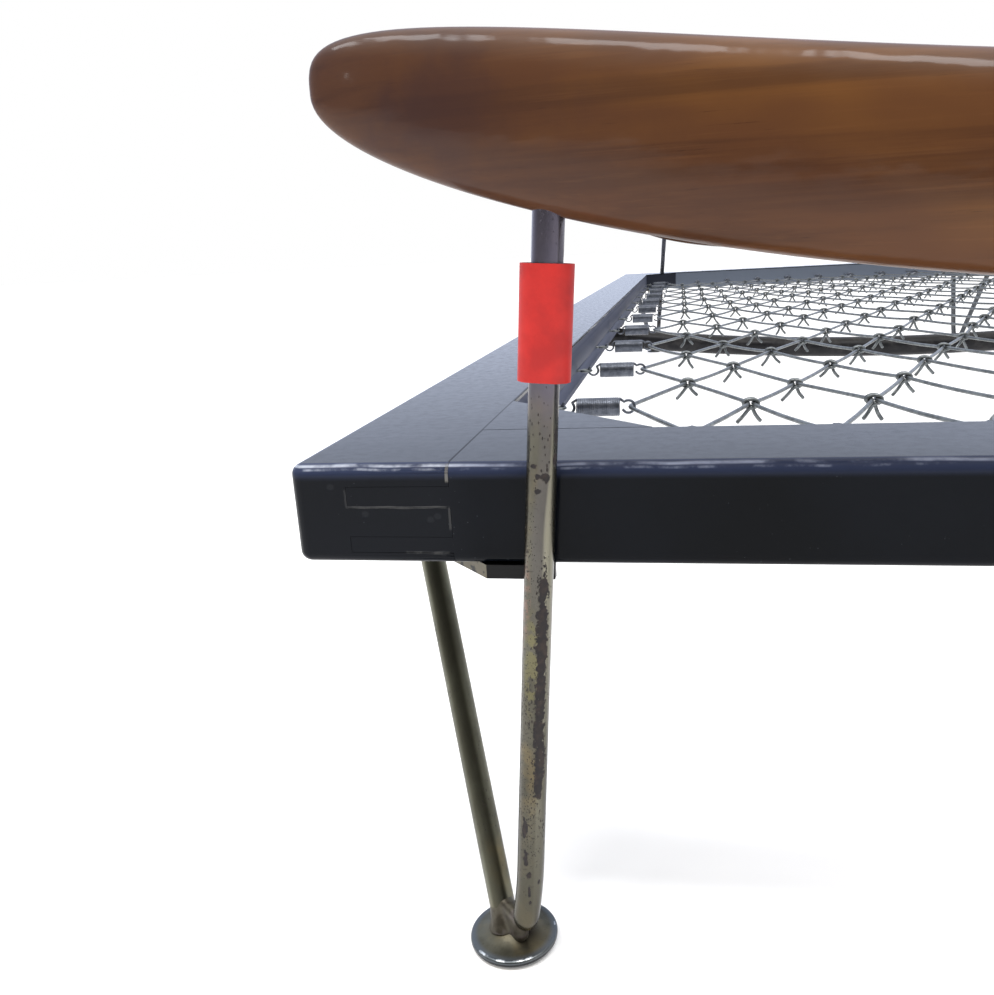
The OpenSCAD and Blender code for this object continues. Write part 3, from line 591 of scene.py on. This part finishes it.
def foot_disc_steel():
    """Darker round the rods from dirt and painted shade, a painted shadow by the long rod's tip, a blue-grey
    rim with painted glints on its outer side, and painted shade underneath.
    """
    f = WornSteel("disc_steel", (90, 89, 78), (63, 61, 52), rust=0.3)
    f.greyer_foot_end()
    out = f.reach(f.dx, f.dy)
    # Darker towards the rods: dirt, with painted shade near the weld.
    f.tint(f.between(f.plus(out, f.times(f.cloud, 6)), 7, 15, 0.8, 0), 58, 52, 40)
    # Painted shadow beside the long rod's tip.
    f.tint(f.spot(f.dx, f.dy, (6.5, -3.5), (10, 7)), 22, 18, 15)
    f.tint(f.between(out, 13.6, 16.0, 0, 0.8), 88, 94, 100)
    # Painted highlights: glints on the rim's outer side.
    places = [f.spot(f.dx, f.dy, at, half) for at, half in RIM_GLINTS]
    glint = f.most(f.between(f.noise(150, 3, 0.5), 0.6, 0.68, 0, 0.5), *places)
    glint = f.times(glint, f.between(f.noise(420, 3), 0.3, 0.6, 0.4, 1.0))
    f.tint(f.times(f.near(out, 16.3, 0.2, 2.2), f.between(glint, 0.2, 0.7), 0.85), 220, 226, 232)
    # Painted shade on the disc's underside.
    f.tint(f.between(f.up, 1.5, 2.3, 0.92, 0), 24, 25, 28)
    return f.finished(gloss=0.33)


# ------ other finishes
def weld_metal():
    """A brown-grey weld, with bright bare lumps."""
    f = Finish("weld_steel")
    cloud = f.noise(160, 4, 0.6)
    f.ground(f.between(cloud, 0.4, 0.62), (62, 57, 48), (84, 80, 69))
    f.tint(f.between(f.noise(330, 4, 0.65), 0.56, 0.7, 0, 0.5), 50, 42, 38)
    f.tint(f.between(f.noise(110, 2), 0.6, 0.72, 0, 0.7), 104, 96, 98)
    f.set(Base_Color=f.colour, Metallic=0.7)
    f.set(Roughness=f.between(cloud, 0.3, 0.7, 0.34, 0.52))
    f.set(Normal=f.bump(f.plus(f.noise(260, 4, 0.6), f.times(f.noise(900, 3), 0.2)), 0.12))
    return f.material


def zinc(name, light, dark):
    """Grey zinc wire, worn brown in places."""
    f = Finish(name)
    f.ground(f.between(f.noise(220, 4, 0.6), 0.35, 0.65), light, dark)
    f.tint(f.between(f.noise(300, 3, 0.6), 0.6, 0.72, 0, 0.25), 84, 78, 72)
    f.set(Base_Color=f.colour, Metallic=0.85)
    f.set(Roughness=f.between(f.noise(600, 3), 0.3, 0.7, 0.3, 0.5))
    f.set(Normal=f.bump(f.noise(900, 3), 0.04))
    return f.material


def dark_steel(name, low, high):
    """Nearly black steel, browner in places on the faces that lie aslant to the bed."""
    f = Finish(name)
    cloud = f.noise(70, 5, 0.62)
    f.ground(f.between(cloud, 0.4, 0.7), low, high)
    facing = f.node("ShaderNodeNewGeometry").outputs["Normal"]
    across, along, _ = f.node("ShaderNodeSeparateXYZ", Vector=facing).outputs
    slant = f.times(f.absolute(f.times(across, along)), f.between(f.noise(160, 4), 0.35, 0.6))
    f.tint(f.between(slant, 0.1, 0.25, 0, 0.8), 98, 92, 76)
    f.set(Base_Color=f.colour, Metallic=0.3, Specular_IOR_Level=0.25)
    f.set(Roughness=f.between(cloud, 0.3, 0.7, 0.38, 0.55))
    f.set(Normal=f.bump(f.noise(350, 4), 0.1))
    return f.material


def tape_red():
    """Red cloth tape, a little uneven."""
    f = Finish("tape_red")
    f.ground(f.between(f.noise(90, 4, 0.6), 0.3, 0.7), (164, 19, 15), (188, 29, 22))
    f.set(Base_Color=f.colour, Roughness=0.55, IOR=1.45)
    f.set(Normal=f.bump(f.plus(f.noise(70, 2), f.times(f.noise(900, 2), 0.1)), 0.25))
    return f.material


def floor_white():
    """A matt white that glows a little, so that the floor goes over into the white behind it."""
    f = Finish("floor_white")
    f.set(Base_Color=f.mix(f.noise(3, 2), (0.93, 0.93, 0.94), (0.95, 0.95, 0.95)), Roughness=0.9, IOR=1.2)
    f.set(Emission_Color=(1.0, 1.0, 1.0), Emission_Strength=0.14)
    return f.material


paint = frame_paint()
varnish = board_varnish()
rod_steel = long_rod_steel()
brace_steel = short_rod_steel()
disc_steel = foot_disc_steel()
weld_steel = weld_metal()
wire_zinc = zinc("wire_zinc", (110, 114, 116), (84, 88, 90))
spring_zinc = zinc("spring_zinc", (94, 98, 107), (74, 78, 87))
plate_steel = dark_steel("plate_steel", (7, 7, 9), (17, 17, 18))
tube_paint = dark_steel("tube_paint", (24, 24, 27), (46, 45, 46))
red = tape_red()
FINISH_BY_WORD = {"rail": paint, "block": paint, "tube": tube_paint, "sleeve": red}


def dress_solids():
    """Gives each solid the finish that a word in its name calls for."""
    for name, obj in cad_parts.items():
        finishes = [finish for word, finish in FINISH_BY_WORD.items() if word in name]
        obj.data.materials.clear()
        obj.data.materials.append(finishes[0] if finishes else plate_steel)


dress_solids()


# ------ side rails, with rounder corners
def rail_cuts(sx):
    """Planes that slice a rail finely near its ends and long edges, for its corners to be rounded."""
    cuts = []
    for step in np.arange(0.4, ROUND_R + 0.2, 0.4):
        cuts.append((Vector((-sx * (BED_W / 2 - step) / 1000, 0, 0)), Vector((1, 0, 0))))
        for sy in (-1, 1):
            cuts.append((Vector((0, sy * (BED_L / 2 - step) / 1000, 0)), Vector((0, 1, 0))))
    for down in (0.15, 0.4, 0.8, 1.3, 1.9, 2.6, 3.3, ARRIS_R):
        for z in (FRAME_TOP - down, FRAME_TOP - RAIL_H + down):
            cuts.append((Vector((0, 0, z / 1000)), Vector((0, 0, 1))))
    return cuts


def draw_in(vertex):
    """Moves a vertex that lies outside the upright round inwards onto it."""
    at = vertex.co
    over_x = ROUND_R - (BED_W / 2 - abs(at.x) * 1000)
    over_y = ROUND_R - (BED_L / 2 - abs(at.y) * 1000)
    if over_x <= 0 or over_y <= 0:
        return
    depth = min(FRAME_TOP - at.z * 1000, at.z * 1000 - FRAME_TOP + RAIL_H)
    inset = ARRIS_R - math.sqrt(max(0.0, ARRIS_R**2 - max(0.0, ARRIS_R - depth) ** 2))
    reach, limit = math.hypot(over_x, over_y), ROUND_R - inset
    if reach > limit:
        at.x += math.copysign(1, -at.x) * over_x * (1 - limit / reach) / 1000
        at.y += math.copysign(1, -at.y) * over_y * (1 - limit / reach) / 1000


def rounder_rail(name, node):
    """The side rail with the four upright edges of its ends worn to a larger, softly blended round."""
    bm = bmesh.new()
    bm.from_mesh(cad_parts[node].data)
    bmesh.ops.remove_doubles(bm, verts=bm.verts, dist=2e-6)
    sx = 1 if sum(v.co.x for v in bm.verts) < 0 else -1
    for place, facing in rail_cuts(sx):
        whole = bm.verts[:] + bm.edges[:] + bm.faces[:]
        bmesh.ops.bisect_plane(bm, geom=whole, dist=1e-6, plane_co=place, plane_no=facing)
    for vertex in bm.verts:
        draw_in(vertex)
    mesh = bpy.data.meshes.new(name)
    bm.to_mesh(mesh)
    bm.free()
    shade_smooth(mesh, crease=32)
    mesh.materials.append(paint)
    obj = add_object(name, mesh)
    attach(obj, "root")
    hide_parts(node)


rounder_rail("side_rail_left_body", "side_rail_left")
rounder_rail("side_rail_right_body", "side_rail_right")


# ------ boards
def board_slice(s):
    """One cross-section of the board at s, from -1 to 1 along it."""
    u = abs(s)
    turn = np.arange(BOARD_SIDES) * 2 * math.pi / BOARD_SIDES
    c, d = np.cos(turn), np.sin(turn)
    blunt = np.where(d > 0, OVER_TIP, UNDER_TIP)
    half_h = BOARD_H / 2 * (1 + BOARD_SWELL * u * u) * max(0.0, 1 - u**BOARD_TAPER) ** blunt
    half_t = BOARD_T / 2 * max(0.0, 1 - u**4) ** 0.4
    y = half_t * np.sign(c) * np.abs(c) ** (2 / SQUARENESS)
    z = BOARD_UP + BOARD_RISE * u * u + half_h * np.sign(d) * np.abs(d) ** (2 / SQUARENESS)
    return np.stack([np.full(BOARD_SIDES, s * BOARD_L / 2), y, z], 1)


def board(name, node, way):
    """A bowed board over one end of the bed, its slices closer together towards its tips."""
    bow = np.radians(np.linspace(-89, 89, BOARD_SLICES))
    points = np.concatenate([board_slice(math.sin(a)) for a in bow]) + [0, -BED_L / 2 + ROD_Y, FRAME_TOP]
    shape = (points * [way, way, 1] / 1000, grid_faces(BOARD_SLICES, BOARD_SIDES))
    make(name, [shape], varnish, "board_varnish", node)


board("headboard_body", "headboard", 1)
board("footboard_body", "footboard", -1)


# ------ legs
def rod_point(z):
    """The long rod's axis at height z, without its kink."""
    return np.array([ROD_X + ROD_SLOPE * z, ROD_Y, z])


def worn_place(obj, points, seed, shifted=True):
    """Keeps each vertex's place from the piece's own axis, in mm, for the wear to be laid out by.
    Each leg but the first turns and shifts it, so that no two wear alike."""
    turn, rise = (1.9 * seed, 23.0 * seed - 40) if seed else (0, 0)
    c, s = math.cos(turn), math.sin(turn)
    x, y, z = points.T
    place = np.stack([c * x - s * y, s * x + c * y, z + rise if shifted else z], 1)
    kept = obj.data.attributes.new("worn_place", "FLOAT_VECTOR", "POINT")
    kept.data.foreach_set("vector", place.ravel())


def leg_piece(kind, corner, shape, material, crease):
    """One of the leg's pieces, at its corner of the frame."""
    name = kind + "_" + corner
    parts = [at_corner(shape, *CORNERS[corner])]
    return make(name + "_body", parts, material, kind + "_steel", name, crease=crease)


def long_rod(corner, seed):
    """A long rod, from its rounded tip by the foot disc up into the board."""
    lean = math.atan(ROD_SLOPE)
    tip_z, tip_length, tip_flat, in_board = FOOT_TOP + TIP_UP + 1.2, 1.5 * TIP_R, 0.6, 20
    turn = np.linspace(0, math.pi / 2, 9)
    straight = np.linspace(tip_length + 1, (BOARD_UP - tip_z) / math.cos(lean) + in_board, 150)
    along = np.concatenate([[-0.02], tip_length * (1 - np.cos(turn)), straight])
    radius = np.concatenate([[tip_flat], ROD_R - TIP_R + TIP_R * np.sin(turn), np.full(150, ROD_R)])
    path = rod_point(tip_z) + along[:, None] * [math.sin(lean), 0, math.cos(lean)]
    path[:, 0] -= KINK_BY * np.clip((KINK_TOP - path[:, 2]) / KINK_DEPTH, 0, 1) ** 2
    points, faces = sweep(path, radius, ROD_SIDES)
    obj = leg_piece("long_rod", corner, (points, faces), rod_steel, 50)
    worn_place(obj, points - [ROD_X, ROD_Y, 0] - points[:, 2:] * [ROD_SLOPE, 0, 0], seed)


def short_rod(corner, seed):
    """The raked rod between the foot disc and the corner plate."""
    points, faces = sweep(np.linspace(BRACE_FOOT, BRACE_HEAD, 110), ROD_R, ROD_SIDES)
    obj = leg_piece("short_rod", corner, (points, faces), brace_steel, 50)
    share = (points[:, 2:] - BRACE_FOOT[2]) / (BRACE_HEAD[2] - BRACE_FOOT[2])
    axis = BRACE_FOOT + share * (BRACE_HEAD - BRACE_FOOT)
    worn_place(obj, points - axis * [1, 1, 0], seed)


def arc(out, up, radius, start, end):
    """Points on a round about the place (out, up), from one angle in degrees to another."""
    turn = np.radians(np.linspace(start, end, 10))
    return np.stack([out + radius * np.cos(turn), up + radius * np.sin(turn)], 1)


def disc_profile():
    """The foot disc's half section, from its underside's middle out over the rim to the rods."""
    flat_r, swell, collar, collar_r = DISC_R - DISC_RIM, 1.2, 4.4, 7.0
    r = np.linspace(flat_r - 0.5, 1.0, 30)
    dome = FOOT_TOP - 0.02 + swell * (1 - (r / flat_r) ** 2) + collar * np.exp(-((r / collar_r) ** 2))
    return np.concatenate([
        [[0, FLOOR_Z]],
        arc(DISC_R - DISC_UNDER, FLOOR_Z + DISC_UNDER, DISC_UNDER, -90, 0),
        arc(flat_r, FOOT_TOP - DISC_RIM, DISC_RIM, 0, 90),
        np.stack([r, dome], 1),
        [[0, FOOT_TOP + 5.5]],
    ])


def foot_disc(corner, seed):
    """A round glide, its top rising softly to the rods, welded on a little out of level."""
    points, faces = revolve(disc_profile(), (FOOT_X, FOOT_Y), 128)
    from_middle = points - [FOOT_X, FOOT_Y, FLOOR_Z]
    points[:, 2] += (points[:, 0] - FOOT_X + DISC_R) * DISC_LEAN[seed]
    obj = leg_piece("foot_disc", corner, (points, faces), disc_steel, 60)
    worn_place(obj, from_middle, seed, shifted=False)


def blob(centre, size):
    """A closed ball squeezed to three half sizes."""
    turn = np.linspace(-math.pi / 2, math.pi / 2, 10)
    ball = [(0, -1)] + [(math.cos(a), math.sin(a)) for a in turn[1:-1]] + [(0, 1)]
    points, faces = revolve(ball, (0, 0), 20)
    return points * size + centre, faces


def melted(parts, voxel, rounds):
    """The parts' common outer skin, melted together and smoothed."""
    mesh = bpy.data.meshes.new("melt")
    points, faces = joined(parts)
    mesh.from_pydata(points, [], faces)
    obj = add_object("melt", mesh)
    remesh = obj.modifiers.new("skin", "REMESH")
    remesh.mode, remesh.voxel_size = "VOXEL", voxel
    smooth = obj.modifiers.new("smooth", "SMOOTH")
    smooth.factor, smooth.iterations = 0.6, rounds
    done = obj.evaluated_get(bpy.context.evaluated_depsgraph_get()).to_mesh()
    points = np.array([v.co[:] for v in done.vertices])
    skin = [list(face.vertices) for face in done.polygons]
    bpy.data.objects.remove(obj)
    return points, skin


def foot_weld():
    """A smooth flare of weld round the short rod's foot, bridged by blobs to the long rod's tip."""
    axis = (BRACE_HEAD - BRACE_FOOT) / np.linalg.norm(BRACE_HEAD - BRACE_FOOT)
    top = 14
    height = np.linspace(1, top, 36)
    flare = ROD_R + 0.2 + 2.6 * np.exp(-((height / 4.6) ** 1.6)) - 0.5 * (height / top) ** 4
    parts = [sweep(BRACE_FOOT + height[:, None] * axis, flare, 40)]
    for rise in np.linspace(3.5, 12.5, 10):
        near = BRACE_FOOT + axis * rise
        far = rod_point(max(FOOT_TOP + rise, FOOT_TOP + TIP_UP + 2.0)) - [2.8, 0, 0]
        for share in np.linspace(0.15, 0.9, 9):
            at = near + (far - near) * share
            at[2] = FOOT_TOP + rise * (1 - 0.15 * share) + 0.8 * share
            parts.append(blob(at, [3.2, 3.1, 2.2]))
    points, faces = melted(parts, voxel=0.45, rounds=30)
    points[:, 2] = np.maximum(points[:, 2], FOOT_TOP + 0.2)
    return points, faces


def weld_bead(low, high, size):
    """A short rippled bead from low to high."""
    share = np.linspace(0, 1, 34)
    path = low + (high - low) * share[:, None]
    ripple = 1 + 0.06 * np.sin(share * 40)
    return sweep(path, size * ripple * np.sqrt(np.clip(1 - (2 * share - 1) ** 6, 0.02, 1)), 28)


def leg_welds():
    """The weld of all four legs: at the foot, on the short rod's head, and behind the long rod."""
    head_weld, rod_weld, half = 6.4, 1.9, np.array([3.0, 0, 0])
    head_low, head_high = BRACE_HEAD + [-0.4, 0.6, -2.6], BRACE_HEAD + [0.2, -0.2, -0.2]
    shapes = [foot_weld(), weld_bead(head_low, head_high, head_weld)]
    for up in (0.8, 3.8):
        middle = rod_point(PLATE_Z + up) + [0, 4.9, 0]
        shapes.append(weld_bead(middle - half, middle + half + [0, 0, 0.2], rod_weld))
    parts = [at_corner(shape, sx, sy) for shape in shapes for sx, sy in CORNERS.values()]
    make("leg_welds_body", parts, weld_steel, "weld_steel", "leg_welds")


for seed, corner in enumerate(CORNERS):
    long_rod(corner, seed)
    short_rod(corner, seed)
    foot_disc(corner, seed)
leg_welds()


# ------ net
# A small shift for each knot, by column and row. The knots on the net's edge stay in line.
knot_shift = {
    (i, j): rng.normal(0, 1, 3) * KNOT_SCATTER * (0 < i < NET_RUNS and 0 < j < NET_LEGS)
    for j in range(NET_LEGS + 1)
    for i in range(NET_RUNS + 1)
}


def knot_at(i, j):
    """The middle of the knot in column i and row j."""
    return knot_shift[i, j] + [NET_X0 + i * PITCH_X, NET_Y0 + j * PITCH_Y, -NET_DOWN]


def run_end(k, j):
    """Where run k passes row j, just beside the middle of the knot that it shares there."""
    on_left = (k + j) % 2 == 1
    column = k if on_left else k + 1
    inset = BEND_IN if 0 < column < NET_RUNS else 0
    return knot_at(column, j) + [inset if on_left else -inset, 0, 0]


def leg_share(t):
    """How far across a leg has gone at t: it leaves and meets its knots straight along the bed."""
    bend, straight = 0.055, 0.15
    fine = np.linspace(0, 1, 401)
    rise = np.clip(np.minimum(fine, 1 - fine) / bend - straight, 0, 1)
    total = np.concatenate([[0], np.cumsum((rise[1:] + rise[:-1]) / 2)])
    return np.interp(t, fine, total / total[-1])


BY_KNOT = np.array([0, 0.015, 0.03, 0.05, 0.07, 0.1])
LEG_T = np.concatenate([BY_KNOT, np.linspace(0.16, 0.84, 9), 1 - BY_KNOT[::-1]])
LEG_SHARE = leg_share(LEG_T)


def run_path(k):
    """One zigzag run along the bed, each of its legs sagging and bowed by a little."""
    path = []
    for j in range(NET_LEGS):
        a, b = run_end(k, j), run_end(k, j + 1)
        sag = rng.uniform(-0.3, 1.4)
        bow = rng.normal(0, 0.35)
        leg = np.stack([
            a[0] + (b[0] - a[0]) * LEG_SHARE + bow * np.sin(math.pi * LEG_T),
            a[1] + (b[1] - a[1]) * LEG_T,
            a[2] + (b[2] - a[2]) * LEG_T - sag * np.sin(math.pi * LEG_T) ** 0.8,
        ], 1)
        path.append(leg[:-1])
    path.append(run_end(k, NET_LEGS)[None])
    return np.concatenate(path)


def net_wire():
    """One wire that runs up and down the bed, each run joined to the next by a tight bend at its end."""
    whole = [run_end(0, NET_LEGS)[None] + NET_STUB]
    for k in range(NET_RUNS):
        run = run_path(k)
        whole.append(run[::-1] if k % 2 == 0 else run)
    whole.append(run_end(NET_RUNS - 1, 0)[None] - NET_STUB)
    points, faces = sweep(np.concatenate(whole), NET_R, 10, round_ends=True)
    make("net_wire_body", [(corner_to_row(points), faces)], wire_zinc, "net_zinc", "net_wire")


def clip_path():
    """A short wire wrapped round two bends, its ends hanging down apart."""
    across, high = BEND_IN + BEND_R + CLIP_R + WIRE_GAP / 2, NET_R + CLIP_R + 0.1
    start = math.radians(-90 + rng.uniform(10, 24))
    angle = start + np.linspace(0, CLIP_TURNS * 2 * math.pi, 30)
    lay = np.linspace(-0.95, 0.95, len(angle)) * CLIP_R * 1.9
    wrap = np.stack([across * np.cos(angle), lay, high * np.sin(angle)], 1)
    swing = np.radians(rng.uniform(26, 40, 2))
    length = rng.uniform(9.5, 12.5, 2)
    apart = rng.uniform(1.5, 3.0, 2)
    side, inwards = np.array([-1, 1]), 0.7
    tips = np.stack([side * np.sin(swing) * length, side * apart, -np.cos(swing) * length - high * 0.4], 1)
    elbows = tips * 0.62 + np.stack([-side * inwards, [0, 0], [-0.2, -0.2]], 1)
    roots = np.stack([side * CLIP_R * 0.6, wrap[[0, -1], 1], [-high, -high]], 1)
    first, last = ([tips[k], elbows[k], roots[k]] for k in (0, 1))
    return smooth_path(np.concatenate([first, wrap[1:-1], last[::-1]]), 1.4)


def net_clips():
    """A clip at each inner knot where two runs meet, each turned a little."""
    parts = []
    for j in range(1, NET_LEGS):
        for i in range(1, NET_RUNS):
            if (i + j) % 2 == 1:
                turn = Matrix.Rotation(rng.normal(0, 0.12), 3, "Z")
                points, faces = sweep(clip_path() @ np.array(turn), CLIP_R, 9, round_ends=True)
                parts.append((corner_to_row(points + knot_at(i, j)), faces))
    make("net_clips_body", parts, wire_zinc, "clip_zinc", "net_clips")


net_wire()
net_clips()


# ------ springs and hooks, made along +X
def loop_path(middle, start, swept):
    """An upright end loop of the spring, that starts at one angle and sweeps through another."""
    t = start + swept * np.linspace(0, 1, 26)
    return np.stack([middle + LOOP_R * np.cos(t), 0 * t, LOOP_R * np.sin(t)], 1)


def spring_path():
    """A close coil with a loop at each end."""
    radius, turn_pitch, turn_points = (SPRING_OD - SPRING_WIRE) / 2, 0.66 * SPRING_WIRE, 22
    start = FIRST_LOOP + LOOP_R + SPRING_WIRE
    end = LAST_LOOP - LOOP_R - SPRING_WIRE
    turns = round((end - start) / turn_pitch)
    a = np.linspace(0, turns * 2 * math.pi, turns * turn_points + 1)
    coil = np.stack([start + (end - start) * a / a[-1], radius * np.sin(a), radius * np.cos(a)], 1)
    open_at, overlap = math.radians(50), math.radians(20)
    swept = 2 * (math.pi - open_at) + overlap
    first = loop_path(FIRST_LOOP, open_at - swept, swept)
    last = loop_path(LAST_LOOP, math.pi - open_at, -swept)
    return np.concatenate([first, coil, last])


def hook_path(reach):
    """A straight shank out of the rail, and an eye that starts reach mm from it."""
    t = np.radians(np.linspace(-140, 180, 30))
    eye = np.stack([reach + HOOK_R + HOOK_R * np.cos(t), HOOK_R * np.sin(t), 0 * t], 1)
    shank = np.array([[-1.0, 0, 0], [reach * 0.5, 0, 0]])
    return smooth_path(np.concatenate([shank, eye[::-1]]), 1.0)


def along_side(points, j):
    """Moves a shape made along +X to the left rail, at net row j."""
    return points + [RAIL_W, NET_Y0 + j * PITCH_Y, -NET_DOWN]


def along_end(points, i):
    """Turns a shape made along +X to run from the head rail, at net column i."""
    x, y, z = points.T
    return np.stack([NET_X0 + i * PITCH_X - y, RAIL_W + x, z - NET_DOWN], 1)


def tilted(points, angle):
    """The points turned a little about the line along +X."""
    c, s = math.cos(angle), math.sin(angle)
    x, y, z = points.T
    return np.stack([x, c * y - s * z, s * y + c * z], 1)


def springs_and_hooks():
    """A spring on its hook at every second row and column of the net, on all four rails."""
    spring, spring_faces = sweep(spring_path(), SPRING_WIRE / 2, 10, round_ends=True)
    rows, columns = range(1, NET_LEGS + 1, 2), range(1, NET_RUNS, 2)
    for rail, way, places, lay, shift in (
        ("left", 1, rows, along_side, 0),
        ("right", -1, rows, along_side, 0),
        ("head", 1, columns, along_end, END_SHIFT),
        ("foot", -1, columns, along_end, END_SHIFT),
    ):
        hook, hook_faces = sweep(hook_path(HOOK_OUT + shift), HOOK_WIRE / 2, 10, round_ends=True)
        springs, hooks = [], []
        for place in places:
            turned = tilted(spring, rng.normal(0, 0.12)) + [shift, 0, 0]
            springs.append((corner_to_row(lay(turned, place), way, way), spring_faces))
            hooks.append((corner_to_row(lay(hook, place), way, way), hook_faces))
        nodes = ["springs_" + rail] + (["springs_left_wound"] if rail == "left" else [])
        make("springs_" + rail + "_body", springs, spring_zinc, "spring_zinc", *nodes)
        make("hooks_" + rail + "_body", hooks, wire_zinc, "hook_zinc", "hooks_" + rail)


springs_and_hooks()


# ------ floor, light and camera, in metres
def floor():
    """A wide white floor, which isn't part of the bed."""
    half = 30
    mesh = bpy.data.meshes.new("floor")
    square = [(-half, -half, 0), (half, -half, 0), (half, half, 0), (-half, half, 0)]
    mesh.from_pydata(square, [], [(0, 1, 2, 3)])
    mesh.materials.append(floor_white())
    obj = add_object("floor", mesh)


def area_light(name, at, look, size, power, colour, mirrored=True):
    """A rectangular lamp that looks at a place, and shows in gloss only if mirrored."""
    light = bpy.data.lights.new(name, "AREA")
    light.shape = "RECTANGLE"
    light.size, light.size_y = size
    light.energy = power
    light.color = colour
    obj = add_object(name, light)
    obj.location = at
    obj.rotation_euler = (Vector(look) - Vector(at)).to_track_quat("-Z", "Y").to_euler()
    obj.visible_glossy = mirrored


def studio_lamps():
    """A lamp and a narrow strip to the front left, and a row of lamps over the head end."""
    near_leg, near_corner = (-0.3, -0.9, 0.2), (-0.34, -0.99, 0.2)
    warm, pale, cool = (1.0, 0.97, 0.93), (1.0, 0.98, 0.95), (0.97, 0.98, 1.0)
    first, apart, lamp_size, lamp_power = -1.5, 0.62, (0.46, 0.5), 10.5
    area_light("front_left", (-1.8, -2.2, 1.4), near_leg, (0.9, 1.2), 9, warm, mirrored=False)
    area_light("left_strip", (-1.55, -2.3, 1.0), near_corner, (0.07, 0.22), 0.5, pale)
    for i in range(5):
        x = first + apart * i
        area_light("lamp_%d" % i, (x, -1.25, 2.1), (x, -1.2, 0.2), lamp_size, lamp_power, cool)


def world_light():
    """White to the camera. To the bed it is dim from the head end, blue from the foot end, bright from the
    sides and warm from above."""
    dim, blue, warm = (0.14, 0.135, 0.13), (1.05, 1.16, 1.44), (1.55, 1.42, 1.15)
    glow = ((0.0, 0.28), (0.22, 0.22), (0.3, 0.0), (0.8, 0.0), (0.87, 0.6), (1.0, 0.5))
    world = bpy.data.worlds.new("studio")
    bpy.context.scene.world = world
    world.use_nodes = True
    world.node_tree.nodes.clear()
    f = Nodes(world.node_tree, "Generated")
    along = f.mix(f.between(f.y, -0.5, 0.85), dim, blue)
    from_left = f.plus(f.times(f.x, 0.5), 0.5)
    sides = f.ramp(from_left, *((at, (g, g, g * 0.95)) for at, g in glow))
    level = f.mix(1.0, along, sides, "ADD")
    whole = f.mix(f.between(f.z, 0.62, 0.92), level, warm, "ADD")
    lit = f.node("ShaderNodeBackground", Color=whole, Strength=1.0).outputs[0]
    shown = f.node("ShaderNodeBackground", Color=(1, 1, 1), Strength=1.0).outputs[0]
    pick = f.node("ShaderNodeMixShader", Fac=f.node("ShaderNodeLightPath").outputs["Is Camera Ray"])
    f.put(pick.inputs[1], lit)
    f.put(pick.inputs[2], shown)
    f.node("ShaderNodeOutputWorld", Surface=pick.outputs[0])


def camera():
    """The photograph's camera, fitted to the frame's edges, the rods and the feet."""
    place = corner_to_row([135.79, -281.07, 67.73])
    yaw, pitch, roll = -0.1875, -0.2711, -0.0547
    image_w_px, focal_px, centre_x_px, sensor = 994, 884.09, 520, 36
    forward = Vector((math.sin(yaw) * math.cos(pitch), math.cos(yaw) * math.cos(pitch), math.sin(pitch)))
    right = Vector((math.cos(yaw), -math.sin(yaw), 0))
    up = right.cross(forward)
    across = right * math.cos(roll) + up * math.sin(roll)
    upward = up * math.cos(roll) - right * math.sin(roll)
    data = bpy.data.cameras.new("camera")
    data.sensor_fit = "HORIZONTAL"
    data.sensor_width = sensor
    data.lens = sensor * focal_px / image_w_px
    data.shift_x = (image_w_px / 2 - centre_x_px) / image_w_px
    data.clip_start, data.clip_end = 0.02, 100
    obj = add_object("camera", data)
    turn = Matrix((across, upward, -forward)).transposed().to_4x4()
    obj.matrix_world = Matrix.Translation(Vector(place)) @ turn
    bpy.context.scene.camera = obj


floor()
world_light()
camera()
studio_lamps()
bpy.context.scene.view_settings.view_transform = "Standard"
